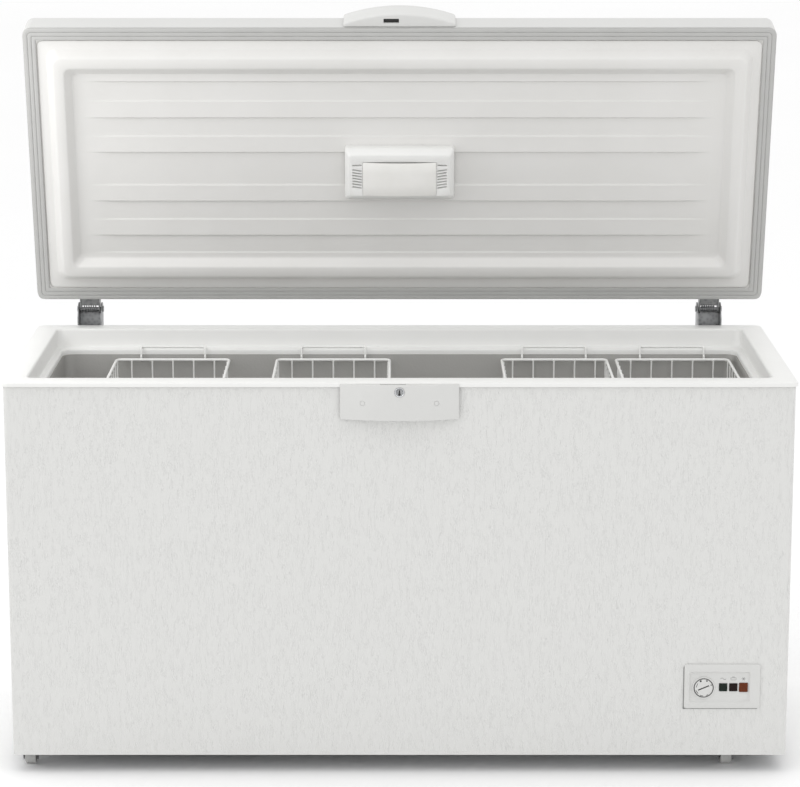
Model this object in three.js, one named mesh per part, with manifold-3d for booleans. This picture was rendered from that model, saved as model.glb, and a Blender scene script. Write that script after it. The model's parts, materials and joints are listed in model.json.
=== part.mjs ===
// Chest freezer with a raised lid, four hanging baskets and the machinery behind its walls.
// Millimetres. x runs across the front, z up from the floor. Inside the cabinet group y is
// the depth behind the front edge of the rim, so the group is moved to centre the whole.
import * as THREE from "three";
import { mergeVertices } from "three/addons/utils/BufferGeometryUtils.js";
import Module from "manifold-3d";

const wasm = await Module();
wasm.setup();

// ---- driving dimensions ----
const rimWidth = 1555;
const rimDepth = 620;
const rimTop = 796;
const rimRadius = 18;
const frontEdgeY = -329.813;
const gap = 0.3;

const skinInset = 5; // the steel skin stands this far inside the rim's outline
const skin = 1;
const skinBottom = 36;
const rimLip = 8; // the rim's edge hangs this far over the skin
const frontRimExtra = 10; // the rim is wider at the front than elsewhere
const sideLedgeLess = 11; // and its ledge is narrower at the two ends

const tubInset = 73; // inside face of the tub, from the rim's outline
const tubWall = 1.2;
const tubTop = rimTop - 50.3;
const tubFloor = 100;
const tubRadius = 24;
const stepX = 498; // the tub is shallower to the right of this, over the machinery
const stepFloor = 350;

const bayX = 545; // the machine bay lies to the right of this
const bayTop = 300;

const lidLength = 610;
const lidThickness = 70;
const lidOpen = 76.4; // degrees from shut, as it stands
const hingeDepth = rimDepth + 30;
const hingeHeight = rimTop + 30;
const lidRear = -34; // lid's edges and underside, from the hinge axis with the lid shut
const lidUnder = -26;
const lidFront = lidRear - lidLength;
const lidTop = lidUnder + lidThickness;
const hingeX = 668;

const basketDepthRange = [90, 540];
const basketHeight = 215;
const basketRim = rimTop - 57;
const baskets = [
  { x: -482.5, width: 246 },
  { x: -141, width: 246 },
  { x: 329, width: 229 },
  { x: 580.5, width: 246 },
];
const bailWidth = 136;
const bailWire = 2.2;

const castorSpots = [
  { side: "left", x: -744 },
  { side: "right", x: 658 },
];
const castorDepths = { front: 62, rear: 560 };
const rollerRadius = 15.5;

// ---- materials ----
const paint = (color, roughness, metalness = 0) =>
  new THREE.MeshStandardMaterial({ color, roughness, metalness });
const whiteSteel = paint(0xe2e2e0, 0.45, 0.1);
const whitePlastic = paint(0xf2f1ee, 0.35);
const greyPlastic = paint(0xb9b9b7, 0.5);
const blackPlastic = paint(0x1d1c1b, 0.5);
const foamStuff = paint(0xe6d9a8, 0.95);
const linerMetal = paint(0x9a9a97, 0.5, 0.6);
const zincSteel = paint(0x8d8f91, 0.4, 0.8);
const chromeMetal = paint(0xd8d9db, 0.12, 1);
const coatedWire = paint(0xf0efec, 0.4);
const copperMetal = paint(0xb8734a, 0.35, 0.9);
const blackEnamel = paint(0x161617, 0.4, 0.3);
const rubberGrey = paint(0xa9a9a7, 0.8);
const glassClear = paint(0xf6f4ea, 0.15);
const greenLens = paint(0x1b3a22, 0.25);
const redLens = paint(0x3a1512, 0.25);
const orangeLens = paint(0x7a3d1c, 0.3);

// ---- solids ----
function toSolid(geometry) {
  geometry.deleteAttribute("normal");
  geometry.deleteAttribute("uv");
  const merged = mergeVertices(geometry, 1e-4);
  return new wasm.Manifold(
    new wasm.Mesh({
      numProp: 3,
      vertProperties: merged.attributes.position.array,
      triVerts: new Uint32Array(merged.index.array),
    }),
  );
}

function toGeometry(solid) {
  const mesh = solid.getMesh();
  const geometry = new THREE.BufferGeometry();
  geometry.setAttribute("position", new THREE.BufferAttribute(mesh.vertProperties, 3));
  geometry.setIndex(new THREE.BufferAttribute(mesh.triVerts, 1));
  geometry.computeVertexNormals();
  return geometry;
}

const join = (first, ...others) => others.reduce((whole, piece) => whole.add(piece), first);
const cut = (first, ...others) => others.reduce((whole, piece) => whole.subtract(piece), first);

function box([x0, x1], [y0, y1], [z0, z1]) {
  const geometry = new THREE.BoxGeometry(x1 - x0, y1 - y0, z1 - z0);
  geometry.translate((x0 + x1) / 2, (y0 + y1) / 2, (z0 + z1) / 2);
  return toSolid(geometry);
}

// A cylinder from one point to another.
function rod(from, to, radius, sides = 20) {
  const start = new THREE.Vector3(...from);
  const along = new THREE.Vector3(...to).sub(start);
  const geometry = new THREE.CylinderGeometry(radius, radius, along.length(), sides);
  geometry.translate(0, along.length() / 2, 0);
  const up = new THREE.Vector3(0, 1, 0);
  geometry.applyQuaternion(
    new THREE.Quaternion().setFromUnitVectors(up, along.clone().normalize()),
  );
  geometry.translate(...from);
  return toSolid(geometry);
}

// A shape drawn in x and y, raised from z0 to z1.
function raised(shape, [z0, z1], curveSegments = 6) {
  const geometry = new THREE.ExtrudeGeometry(shape, {
    depth: z1 - z0,
    bevelEnabled: false,
    curveSegments,
  });
  geometry.translate(0, 0, z0);
  return toSolid(geometry);
}

// A shape drawn in y and z, stretched from x0 to x1.
function acrossX(shape, [x0, x1], curveSegments = 6) {
  const geometry = new THREE.ExtrudeGeometry(shape, {
    depth: x1 - x0,
    bevelEnabled: false,
    curveSegments,
  });
  geometry.applyMatrix4(
    new THREE.Matrix4().set(0, 0, 1, x0, 1, 0, 0, 0, 0, 1, 0, 0, 0, 0, 0, 1),
  );
  return toSolid(geometry);
}

// A shape drawn in x and z, stretched from y0 to y1.
function alongY(shape, [y0, y1], curveSegments = 6) {
  const geometry = new THREE.ExtrudeGeometry(shape, {
    depth: y1 - y0,
    bevelEnabled: false,
    curveSegments,
  });
  geometry.rotateX(Math.PI / 2);
  geometry.translate(0, y1, 0);
  return toSolid(geometry);
}

function polygon(...points) {
  return new THREE.Shape(points.map(([x, y]) => new THREE.Vector2(x, y)));
}

// The corners of a rounded rectangle, each an arc of a few steps.
function roundedPoints([x0, x1], [y0, y1], radius, steps) {
  const corners = [
    [x1 - radius, y0 + radius],
    [x1 - radius, y1 - radius],
    [x0 + radius, y1 - radius],
    [x0 + radius, y0 + radius],
  ];
  return corners.flatMap(([cx, cy], quarter) =>
    Array.from({ length: steps + 1 }, (_, step) => {
      const angle = (quarter - 1 + step / steps) * (Math.PI / 2);
      return new THREE.Vector2(cx + radius * Math.cos(angle), cy + radius * Math.sin(angle));
    }),
  );
}

const roundedRectangle = (x, y, radius, steps = 4) =>
  new THREE.Shape(roundedPoints(x, y, radius, steps));

// Rounded rectangles, one per level, joined into a solid: capped at both ends, or closed on
// itself as a ring. A level is { x: [x0, x1], y: [y0, y1], z, radius }.
function loft(levels, { ring = false, cornerSteps = 4 } = {}) {
  const loops = levels.map(({ x, y, z, radius }) =>
    roundedPoints(x, y, radius, cornerSteps).map((point) => [point.x, point.y, z]),
  );
  const count = loops[0].length;
  const index = [];
  const pairs = ring ? loops.length : loops.length - 1;
  for (let i = 0; i < pairs; i++) {
    const low = i * count;
    const high = ((i + 1) % loops.length) * count;
    for (let k = 0; k < count; k++) {
      const next = (k + 1) % count;
      index.push(low + k, low + next, high + next, low + k, high + next, high + k);
    }
  }
  if (!ring) {
    const last = (loops.length - 1) * count;
    for (let k = 1; k < count - 1; k++) {
      index.push(0, k + 1, k);
      index.push(last, last + k, last + k + 1);
    }
  }
  const geometry = new THREE.BufferGeometry();
  geometry.setAttribute("position", new THREE.Float32BufferAttribute(loops.flat(2), 3));
  geometry.setIndex(index);
  return toSolid(geometry);
}

// Round wire or tube along a curve.
function swept(curve, radius, steps, sides = 6) {
  const corners = Array.from({ length: sides }, (_, k) => {
    const angle = (k / sides) * Math.PI * 2;
    return new THREE.Vector2(radius * Math.cos(angle), radius * Math.sin(angle));
  });
  const geometry = new THREE.ExtrudeGeometry(new THREE.Shape(corners), {
    extrudePath: curve,
    steps,
    bevelEnabled: false,
  });
  return toSolid(geometry);
}

const slab = (x, y, z, radius) => raised(roundedRectangle(x, y, radius), z);

// The rim's outline shrunk by inset, with a share of its extra width at the front and of
// its narrower ledge at the ends.
function rimLevel(inset, z, share = 0, ledge = 0) {
  const front = inset + share * frontRimExtra;
  const half = rimWidth / 2 - inset + ledge * sideLedgeLess;
  return {
    x: [-half, half],
    y: [front, rimDepth - inset],
    z,
    radius: inset > 60 ? tubRadius : Math.max(rimRadius - inset, 12),
  };
}

const freezer = new THREE.Group();
const cabinet = new THREE.Group();
cabinet.position.y = frontEdgeY;
freezer.add(cabinet);

function place(parent, name, solid, material, position = [0, 0, 0], rotation = [0, 0, 0]) {
  const mesh = new THREE.Mesh(toGeometry(solid), material);
  mesh.name = name;
  mesh.position.set(...position);
  mesh.rotation.set(...rotation);
  parent.add(mesh);
}

// ---- cabinet shell ----
const halfSkin = rimWidth / 2 - skinInset;
const skinTop = rimTop - rimLip - 1;
const rearPanelDepth = [rimDepth - skinInset - skin, rimDepth - skinInset];

const panel = { x: [566, 717], z: [134.5, 225.5] }; // the control panel's outline
const recess = { x: [575.5, 696.5], z: [147, 210.5] };
const panelHole = { x: [570, 713], z: [139, 221] };

function outerWrap() {
  const end = rearPanelDepth[0] - gap;
  const corner = 9;
  const wall = (inset, back) =>
    slab(
      [-halfSkin + inset, halfSkin - inset],
      [skinInset + inset, rimDepth + back],
      [skinBottom, skinTop],
      corner - inset,
    );
  const shell = cut(
    wall(0, 40),
    wall(skin, 60),
    box([-rimWidth, rimWidth], [end, rimDepth + 80], [0, rimTop]),
  );
  return cut(shell, box(panelHole.x, [0, 20], panelHole.z));
}

// Keeps a piece inside the rounded front corners of the skin.
function insideSkin(solid) {
  const inner = skinInset + skin + gap;
  const half = rimWidth / 2 - inner;
  return solid.intersect(slab([-half, half], [inner, rimDepth + 60], [0, rimTop], 9));
}

const grilleX = [565, 700];
const grilleZ = [105, 255];

const glandSpot = [735, 80];

function backPanel() {
  const sheet = box([-halfSkin, halfSkin], rearPanelDepth, [skinBottom, skinTop]);
  const opening = box(
    [grilleX[0] + 12, grilleX[1] - 12],
    [600, 630],
    [grilleZ[0] + 12, grilleZ[1] - 12],
  );
  const [x, z] = glandSpot;
  return cut(sheet, opening, rod([x, 600, z], [x, 630, z], 8.4));
}

function cordGland() {
  const [x, z] = glandSpot;
  const flange = rod([x, rearPanelDepth[1] + gap, z], [x, rimDepth - 1, z], 11);
  const stem = rod([x, rearPanelDepth[0] - 4, z], [x, rimDepth - 2, z], 8);
  return cut(join(flange, stem), rod([x, 600, z], [x, 630, z], 4));
}

function ventGrille() {
  const depth = [rearPanelDepth[1] + gap, rearPanelDepth[1] + 2.5];
  const slots = [];
  for (let row = 0; row < 8; row++) {
    const z = grilleZ[0] + 24 + row * 14;
    slots.push(box([grilleX[0] + 18, grilleX[1] - 18], [600, 630], [z, z + 6]));
  }
  return cut(alongY(roundedRectangle(grilleX, grilleZ, 6), depth), ...slots);
}

const drainSpot = [-600, 150];

function bottomPanel() {
  const low = skinBottom + 1;
  const sheet = 1.2;
  const inner = halfSkin - skin - gap;
  const outline = polygon(
    [-inner, low],
    [bayX, low],
    [bayX, bayTop],
    [inner, bayTop],
    [inner, bayTop + sheet],
    [bayX - sheet, bayTop + sheet],
    [bayX - sheet, low + sheet],
    [-inner, low + sheet],
  );
  const folded = alongY(outline, [skinInset + skin + gap, rearPanelDepth[0] - gap]);
  return insideSkin(cut(folded, rod([...drainSpot, 20], [...drainSpot, 60], 12.4)));
}

function compressorTray() {
  const low = skinBottom + 1;
  const ends = [bayX + 1, halfSkin - skin - gap];
  const depths = [skinInset + skin + gap, rearPanelDepth[0] - gap];
  const floor = box(ends, depths, [low, low + 2]);
  const ribs = [330, 470].map((y) => box([590, 690], [y - 12, y + 12], [low, low + 7]));
  return insideSkin(join(floor, ...ribs));
}

// The rim is one moulding: flat top, sloping inner wall, ledge, rounded lip and a step.
function collarFrame() {
  const outline = [
    [0, -rimLip, 0, 0],
    [0, -1.2, 0, 0],
    [1.2, 0, 0, 0],
    [43.5, 0, 1, 0],
    [46, -2.5, 1, 0],
    [51, -38, 1, 0.3],
    [67.5, -38, 1, 1],
    [70, -40, 1, 1],
    [71.5, -43, 1, 1],
    [71.5, -50, 1, 1],
    [68.5, -50, 1, 1],
    [67, -42, 1, 1],
    [47, -42, 1, 0.3],
    [42, -4, 1, 0],
    [4, -4, 0, 0],
    [4, -rimLip, 0, 0],
  ];
  return loft(
    outline.map(([inset, z, ...shares]) => rimLevel(inset, rimTop + z, ...shares)),
    { ring: true },
  );
}

// The tub's hollow, grown outwards by wall and raised at the machinery step.
function tubSpace(wall, top) {
  const half = rimWidth / 2 - tubInset + sideLedgeLess + wall;
  const y = [tubInset + frontRimExtra - wall, rimDepth - tubInset + wall];
  const whole = slab([-half, half], y, [tubFloor - wall, top], tubRadius + wall);
  return cut(whole, box([stepX + wall, rimWidth], [0, rimDepth], [0, stepFloor - wall]));
}

function innerLiner() {
  const hole = rod([...drainSpot, 60], [...drainSpot, 120], 12);
  return cut(tubSpace(tubWall, tubTop), tubSpace(0, tubTop + 20), hole);
}

const coilRoom = 8; // the evaporator tube lies in this space around the tub

function insulationFoam() {
  const inner = skinInset + skin + gap;
  const y = [inner, rearPanelDepth[0] - gap];
  const half = rimWidth / 2 - inner;
  const block = insideSkin(box([-half, half], y, [skinBottom + 2.6, skinTop]));
  const underFlange = loft([rimLevel(41, rimTop - 42.5, 1), rimLevel(41, rimTop + 5, 1)]);
  const underStep = loft([
    rimLevel(63, tubTop - gap, 1, 1),
    rimLevel(63, rimTop - 41, 1, 1),
  ]);
  const bay = box([bayX - 1.6, rimWidth], [0, rimDepth], [0, bayTop + 1.6]);
  const drain = rod([...drainSpot, 20], [...drainSpot, 120], 12.4);
  return cut(block, tubSpace(coilRoom, rimTop), underFlange, underStep, bay, drain);
}

function drainTube() {
  const [x, y] = drainSpot;
  return cut(
    rod([x, y, skinBottom - 6], [x, y, tubFloor - tubWall - gap], 12),
    rod([x, y, 0], [x, y, 200], 9.5),
  );
}

function drainPlug() {
  const [x, y] = drainSpot;
  return join(
    rod([x, y, tubFloor + gap], [x, y, tubFloor + 4], 19),
    rod([x, y, tubFloor - 14], [x, y, tubFloor + 2], 8.8),
    rod([x, y, tubFloor + 3], [x, y, tubFloor + 12], 5, 12),
  );
}

// A tube wound round the tub. Each side of a turn is one straight run and a rounded corner.
class WoundPath extends THREE.Curve {
  constructor(halfX, [y0, y1], [z0, z1], radius, turns) {
    super();
    Object.assign(this, { halfX, y0, y1, z0, z1, radius, turns });
  }
  getUtoTmapping(u) {
    return u;
  }
  getPoint(t, target = new THREE.Vector3()) {
    const sideCount = t * this.turns * 4;
    const side = Math.min(Math.floor(sideCount), this.turns * 4 - 1);
    const share = sideCount - side;
    const r = this.radius;
    const centres = [
      [this.halfX - r, this.y0 + r],
      [this.halfX - r, this.y1 - r],
      [-this.halfX + r, this.y1 - r],
      [-this.halfX + r, this.y0 + r],
    ];
    const [cx, cy] = centres[side % 4];
    const start = ((side % 4) - 1) * (Math.PI / 2);
    const cornerShare = 0.75;
    const z = this.z0 + (this.z1 - this.z0) * t;
    if (share <= cornerShare) {
      const angle = start + (share / cornerShare) * (Math.PI / 2);
      return target.set(cx + r * Math.cos(angle), cy + r * Math.sin(angle), z);
    }
    const run = (share - cornerShare) / (1 - cornerShare);
    const [nx, ny] = centres[(side + 1) % 4];
    const angle = start + Math.PI / 2;
    const x = cx + (nx - cx) * run + r * Math.cos(angle);
    const y = cy + (ny - cy) * run + r * Math.sin(angle);
    return target.set(x, y, z);
  }
}

function evaporatorCoil() {
  const turns = 3;
  const offset = tubInset - tubWall - coilRoom / 2;
  const path = new WoundPath(
    rimWidth / 2 - offset + sideLedgeLess,
    [offset + frontRimExtra, rimDepth - offset],
    [stepFloor + 60, tubTop - 40],
    tubRadius + 6,
    turns,
  );
  return swept(path, 2.5, turns * 16);
}

// ---- machinery ----
const compressorSpot = [640, 400];
const trayTop = skinBottom + 8;

function compressor() {
  const radius = 78;
  const profile = [
    [0, 0],
    [radius - 24, 0],
    [radius - 6, 14],
    [radius, 34],
    [radius, 66],
    [radius + 3, 68],
    [radius + 3, 76],
    [radius, 78],
    [radius - 2, 122],
    [radius - 14, 148],
    [radius - 40, 162],
    [0, 168],
  ];
  const pot = new THREE.LatheGeometry(
    profile.map(([r, z]) => new THREE.Vector2(r, z)),
    24,
  );
  pot.rotateX(Math.PI / 2);
  pot.translate(0, 0, 12);
  const feet = box([-46, 46], [-82, 82], [6, 10]);
  const saddle = box([-30, 30], [-40, 40], [8, 20]);
  const bosses = [-70, 70].flatMap((y) => [-36, 36].map((x) => rod([x, y, 0], [x, y, 8], 8, 12)));
  return join(toSolid(pot), feet, saddle, ...bosses);
}

function filterDrier() {
  const profile = [
    [0, 0],
    [3, 0],
    [3, 12],
    [9, 22],
    [9, 92],
    [3, 102],
    [3, 114],
    [0, 114],
  ];
  const body = new THREE.LatheGeometry(
    profile.map(([r, z]) => new THREE.Vector2(r, z)),
    12,
  );
  body.rotateX(Math.PI / 2);
  return toSolid(body);
}

const drierSpot = [735, 520, 90];

function dischargePipe() {
  const [x, y] = compressorSpot;
  const [dx, dy, dz] = drierSpot;
  const points = [
    [x + 57, y + 57, trayTop + 120],
    [x + 72, y + 72, trayTop + 124],
    [x + 84, y + 90, trayTop + 180],
    [dx, dy - 10, trayTop + 205],
    [dx, dy, dz + 140],
    [dx, dy, dz + 115],
  ].map((p) => new THREE.Vector3(...p));
  return swept(new THREE.CatmullRomCurve3(points, false, "centripetal"), 3, 20, 6);
}

// ---- control panel ----
const dialSpot = [604.6, 177.2];
const dialRadius = 19.6;
const lampZ = [170, 186];
const greenX = [635.5, 651.5];
const redX = [655.7, 671.7];
const buttonX = [675.3, 692.3];
const buttonZ = [168.6, 187];
const bezelFront = -1;
const bezelFloor = 3;

function squareHole([x0, x1], [z0, z1]) {
  return box([x0 - gap, x1 + gap], [-10, 40], [z0 - gap, z1 + gap]);
}

function controlBezel() {
  const back = skinInset - gap;
  const plate = alongY(roundedRectangle(panel.x, panel.z, 5), [bezelFront, back]);
  const [x0, x1] = panelHole.x;
  const [z0, z1] = panelHole.z;
  const collar = box([x0 + 1, x1 - 1], [back - 1, 18], [z0 + 1, z1 - 1]);
  const hollow = box([x0 + 3, x1 - 3], [back, 30], [z0 + 3, z1 - 3]);
  const dish = alongY(roundedRectangle(recess.x, recess.z, 3), [-10, bezelFloor]);
  const [dx, dz] = dialSpot;
  const dialHole = rod([dx, -10, dz], [dx, 40, dz], dialRadius + gap, 32);
  return cut(
    join(plate, collar),
    hollow,
    dish,
    dialHole,
    squareHole(greenX, lampZ),
    squareHole(redX, lampZ),
    squareHole(buttonX, buttonZ),
  );
}

function thermostatDial() {
  const disc = rod([0, 0.6, 0], [0, 12, 0], dialRadius, 32);
  const shaft = rod([0, 10, 0], [0, 24, 0], 3.5, 12);
  const slot = box([-12.5, 12.5], [-1, 2.6], [-1.3, 1.3]);
  return cut(join(disc, shaft), slot);
}

const thermostatBody = () => box([-24, 24], [24.5, 58], [-26, 26]);

const lens = ([x0, x1], [z0, z1], front, back) =>
  alongY(roundedRectangle([x0, x1], [z0, z1], 2), [front, back], 3);

function freezeButton() {
  const cap = lens(buttonX, buttonZ, 0.8, 12);
  const [x0, x1] = buttonX;
  const [z0, z1] = buttonZ;
  const stem = box([x0 + 5, x1 - 5], [10, 20], [z0 + 6, z1 - 6]);
  return join(cap, stem);
}

// ---- lock and grips: one bow-fronted badge, half on the cabinet and half on the lid ----
const gripHalf = 116;
const gripBulge = -22; // depth of the bow at its middle
const gripEnd = -2;
const lockZ = rimTop - 14;
const hookDepth = [-9.6, -6.6];
const hookLength = 26;

// Plan outline of the bow from back to its curved front.
function bow(back) {
  const rise = gripEnd - gripBulge;
  const radius = (gripHalf ** 2 + rise ** 2) / (2 * rise);
  const half = Math.asin(gripHalf / radius);
  const shape = new THREE.Shape();
  shape.moveTo(gripHalf, back);
  shape.lineTo(gripHalf, gripEnd);
  shape.absarc(0, gripBulge + radius, radius, -Math.PI / 2 + half, -Math.PI / 2 - half, true);
  shape.lineTo(-gripHalf, back);
  return shape;
}

function lockHousing() {
  const top = rimTop - 1;
  const face = raised(bow(-gap), [rimTop - 71, top], 20);
  const foot = box(
    [-gripHalf + 1, gripHalf - 1],
    [-1, skinInset - gap],
    [rimTop - 70, rimTop - rimLip - 1],
  );
  const hookRoom = box([-38, 12], [-11, -5], [rimTop - 30, rimTop + 10]);
  const bore = rod([0, -40, lockZ], [0, -10, lockZ], 9.8, 24);
  return cut(join(face, foot), hookRoom, bore);
}

function lockCylinder() {
  const barrel = rod([0, gripBulge - 1.5, 0], [0, hookDepth[0] - gap, 0], 9.4, 24);
  const keyway = box([-1.1, 1.1], [gripBulge - 3, gripBulge + 6], [-4.5, 4.5]);
  return cut(barrel, keyway);
}

// The hook turns with the cylinder and rises into the lid's grip.
function lockHook() {
  const shape = polygon(
    [4.5, -5],
    [4.5, 4.5],
    [-16, 3.5],
    [-20, 1],
    [-hookLength, 6],
    [-hookLength - 1, -1.5],
    [-20, -6],
  );
  return alongY(shape, hookDepth);
}

// ---- hinges ----
const channelHalf = 26;
const sheetSteel = 2.5;
const pinRadius = 4;

// A channel screwed to the back panel, its cheeks rounded round the pin.
function hingeBracket() {
  const rear = 44;
  const low = rimTop - 156;
  const ear = 14.5;
  const rise = 30;
  const start = 0.6;
  const side = new THREE.Shape();
  side.moveTo(-4.7, low);
  side.lineTo(rear - 6, low);
  side.lineTo(rear, low + 6);
  side.lineTo(rear, rimTop + rise);
  side.absarc(30, rimTop + rise, ear, 0, Math.PI * 0.75);
  side.lineTo(start, rimTop + 14);
  side.lineTo(start, rimTop - rimLip - 3);
  side.lineTo(-4.7, rimTop - rimLip - 3);
  const block = acrossX(side, [-channelHalf, channelHalf]);
  const inner = channelHalf - sheetSteel;
  const hollow = box([-inner, inner], [-20, rear - sheetSteel], [low + sheetSteel, rimTop + 60]);
  const leafRoom = box([-inner, inner], [rear - 10, rear + 10], [rimTop + rise, rimTop + 60]);
  const bore = rod([-40, 30, rimTop + rise], [40, 30, rimTop + rise], pinRadius + 0.2);
  const ears = [-1, 1].map((way) => {
    const inside = way * (channelHalf - 1);
    const outside = way * (channelHalf + 14);
    return box(
      [Math.min(inside, outside), Math.max(inside, outside)],
      [-4.7, -4.7 + sheetSteel],
      [low + 10, rimTop - 24],
    );
  });
  return join(cut(block, hollow, leafRoom, bore), ...ears);
}

function hingePin() {
  const shaft = rod([-channelHalf - 1, 0, 0], [channelHalf + 1, 0, 0], pinRadius);
  const heads = [-1, 1].map((way) =>
    rod([way * (channelHalf + gap), 0, 0], [way * (channelHalf + 2.3), 0, 0], 6.5),
  );
  return join(shaft, ...heads);
}

// The lid's leaf: a plate on the rear edge with two ears round the pin.
function hingeLeaf() {
  const half = 21;
  const side = new THREE.Shape();
  side.moveTo(lidRear + gap, -12);
  side.lineTo(lidRear + 8, -12);
  side.lineTo(-3, -9);
  side.absarc(0, 0, 9.5, -Math.PI * 0.6, Math.PI * 0.6);
  side.lineTo(lidRear + 8, 30);
  side.lineTo(lidRear + gap, 38);
  const block = acrossX(side, [-half, half]);
  const inner = half - sheetSteel;
  const hollow = box([-inner, inner], [lidRear + gap + sheetSteel, 40], [-40, 60]);
  return cut(block, hollow, rod([-40, 0, 0], [40, 0, 0], pinRadius + 0.2));
}

class Helix extends THREE.Curve {
  constructor(radius, length, turns) {
    super();
    Object.assign(this, { radius, length, turns });
  }
  getPoint(t, target = new THREE.Vector3()) {
    const angle = t * this.turns * Math.PI * 2;
    return target.set(
      (t - 0.5) * this.length,
      this.radius * Math.cos(angle),
      this.radius * Math.sin(angle),
    );
  }
}

const hingeSpring = () => swept(new Helix(6.9, 30, 5), 1.3, 40, 5);

// ---- castors ----
function castorBracket() {
  const plate = box([-26, 26], [-30, 30], [skinBottom - 1.8, skinBottom + 0.7]);
  const arm = (x) => {
    const side = new THREE.Shape();
    side.moveTo(-20, skinBottom - 1);
    side.lineTo(-8, rollerRadius - 4);
    side.absarc(0, rollerRadius, 8, -Math.PI * 0.9, -Math.PI * 0.1);
    side.lineTo(20, skinBottom - 1);
    return acrossX(side, [x, x + 2]);
  };
  const axle = rod([-15.5, 0, rollerRadius], [15.5, 0, rollerRadius], 3.5, 16);
  return join(plate, arm(-15), arm(13), axle);
}

function castorRoller() {
  const half = 11;
  const radius = rollerRadius;
  const profile = [
    [3.9, -half],
    [radius - 1.5, -half],
    [radius, -half + 1.5],
    [radius, half - 1.5],
    [radius - 1.5, half],
    [3.9, half],
    [3.9, -half],
  ];
  const wheel = new THREE.LatheGeometry(
    profile.map(([r, z]) => new THREE.Vector2(r, z)),
    20,
  );
  wheel.rotateZ(Math.PI / 2);
  return toSolid(wheel);
}

// ---- baskets ----
function basket(width) {
  const [front, back] = basketDepthRange;
  const half = width / 2;
  const wall = 3;
  const outer = slab([-half, half], [front, back], [basketRim - basketHeight, basketRim], 14);
  const inner = slab(
    [-half + wall, half - wall],
    [front + wall, back - wall],
    [basketRim - basketHeight + wall, basketRim + 10],
    11,
  );
  return cut(outer, inner);
}

// A wire bail from its pivots on the basket's rim, up over the lip of the ledge.
// reach is the sideways hook, towards +y; the front bails are turned round.
function bail(reach) {
  const half = bailWidth / 2;
  const rise = 19;
  const bend = 5;
  const path = new THREE.CurvePath();
  const v = (x, y, z) => new THREE.Vector3(x, y, z);
  const line = (a, b) => path.add(new THREE.LineCurve3(a, b));
  const turn = (a, b, c) => path.add(new THREE.QuadraticBezierCurve3(a, b, c));
  line(v(-half, 0, 0), v(-half, 2.5, rise - bend));
  turn(v(-half, 2.5, rise - bend), v(-half, 2.5, rise), v(-half, 2.5 + bend, rise));
  line(v(-half, 2.5 + bend, rise), v(-half, reach - bend, rise));
  turn(v(-half, reach - bend, rise), v(-half, reach, rise), v(-half + bend, reach, rise));
  line(v(-half + bend, reach, rise), v(half - bend, reach, rise));
  turn(v(half - bend, reach, rise), v(half, reach, rise), v(half, reach - bend, rise));
  line(v(half, reach - bend, rise), v(half, 2.5 + bend, rise));
  turn(v(half, 2.5 + bend, rise), v(half, 2.5, rise), v(half, 2.5, rise - bend));
  line(v(half, 2.5, rise - bend), v(half, 0, 0));
  return swept(path, bailWire, 26, 5);
}

// ---- lid ----
function lidLevel(inset, z, radius = 12) {
  return {
    x: [-rimWidth / 2 + inset, rimWidth / 2 - inset],
    y: [lidFront + inset, lidRear - inset],
    z,
    radius: Math.max(radius - inset, 3),
  };
}

const lidLoaf = (inset, low) =>
  loft([
    lidLevel(inset, low),
    lidLevel(inset, lidTop - 8),
    lidLevel(inset + 2, lidTop - inset - 3),
    lidLevel(inset + 7, lidTop - inset),
  ]);

const lidShell = () => cut(lidLoaf(0, lidUnder), lidLoaf(skin, lidUnder - 10));
const lidFoam = () => lidLoaf(skin + gap, lidUnder + 4.3);

const ridgeDrop = 20;
const panelDrop = 4;

function lidLiner() {
  const plate = loft([lidLevel(skin + gap, lidUnder), lidLevel(skin + gap, lidUnder + 4)]);
  const ridge = loft([
    lidLevel(61, lidUnder - ridgeDrop, 80),
    lidLevel(56, lidUnder - ridgeDrop + 2, 80),
    lidLevel(47, lidUnder + 1, 80),
  ]);
  const dish = loft([
    lidLevel(82, lidUnder - ridgeDrop - 5, 104),
    lidLevel(84, lidUnder - ridgeDrop, 104),
    lidLevel(100, lidUnder - panelDrop, 104),
  ]);
  return cut(join(plate, ridge), dish);
}

function lidGasket() {
  const low = lidUnder - 4 + gap;
  const high = lidUnder - gap;
  return cut(
    loft([lidLevel(2, low), lidLevel(1, high)]),
    loft([lidLevel(27, low - 5), lidLevel(27, high + 5)]),
  );
}

function lidHandle() {
  const back = 6 - gap; // the lid's front face lies this deep behind the rim's front edge
  const face = raised(bow(back), [lidUnder, lidTop - 6], 20);
  const hookSlot = box([-33, -1], [-12.5, -3.5], [lidUnder - 5, lidUnder + 26]);
  return cut(face, hookSlot);
}

const lamp = { half: 115, y: [-388, -273], low: -61 };
const lampWindow = { half: 77, y: [-361, -281] };

function lampLevel(inset, z) {
  return {
    x: [-lamp.half + inset, lamp.half - inset],
    y: [lamp.y[0] + inset, lamp.y[1] - inset],
    z,
    radius: 8 - Math.min(inset, 4),
  };
}

function lampBase() {
  const high = lidUnder - panelDrop - gap;
  const body = loft([lampLevel(9, lamp.low), lampLevel(2, lamp.low + 14), lampLevel(0, high)]);
  const hollow = loft([
    lampLevel(12, lamp.low + 3),
    lampLevel(4.5, lamp.low + 15),
    lampLevel(3, high + 5),
  ]);
  const window = box([-lampWindow.half, lampWindow.half], lampWindow.y, [-80, -40]);
  const slots = [];
  for (const side of [-1, 1]) {
    for (let row = 0; row < 7; row++) {
      const y = -340 + row * 6.1;
      const x = side * 89;
      slots.push(box([x - 8.5, x + 8.5], [y - 1.2, y + 1.2], [-80, -50]));
    }
  }
  return cut(body, hollow, window, ...slots);
}

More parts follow.
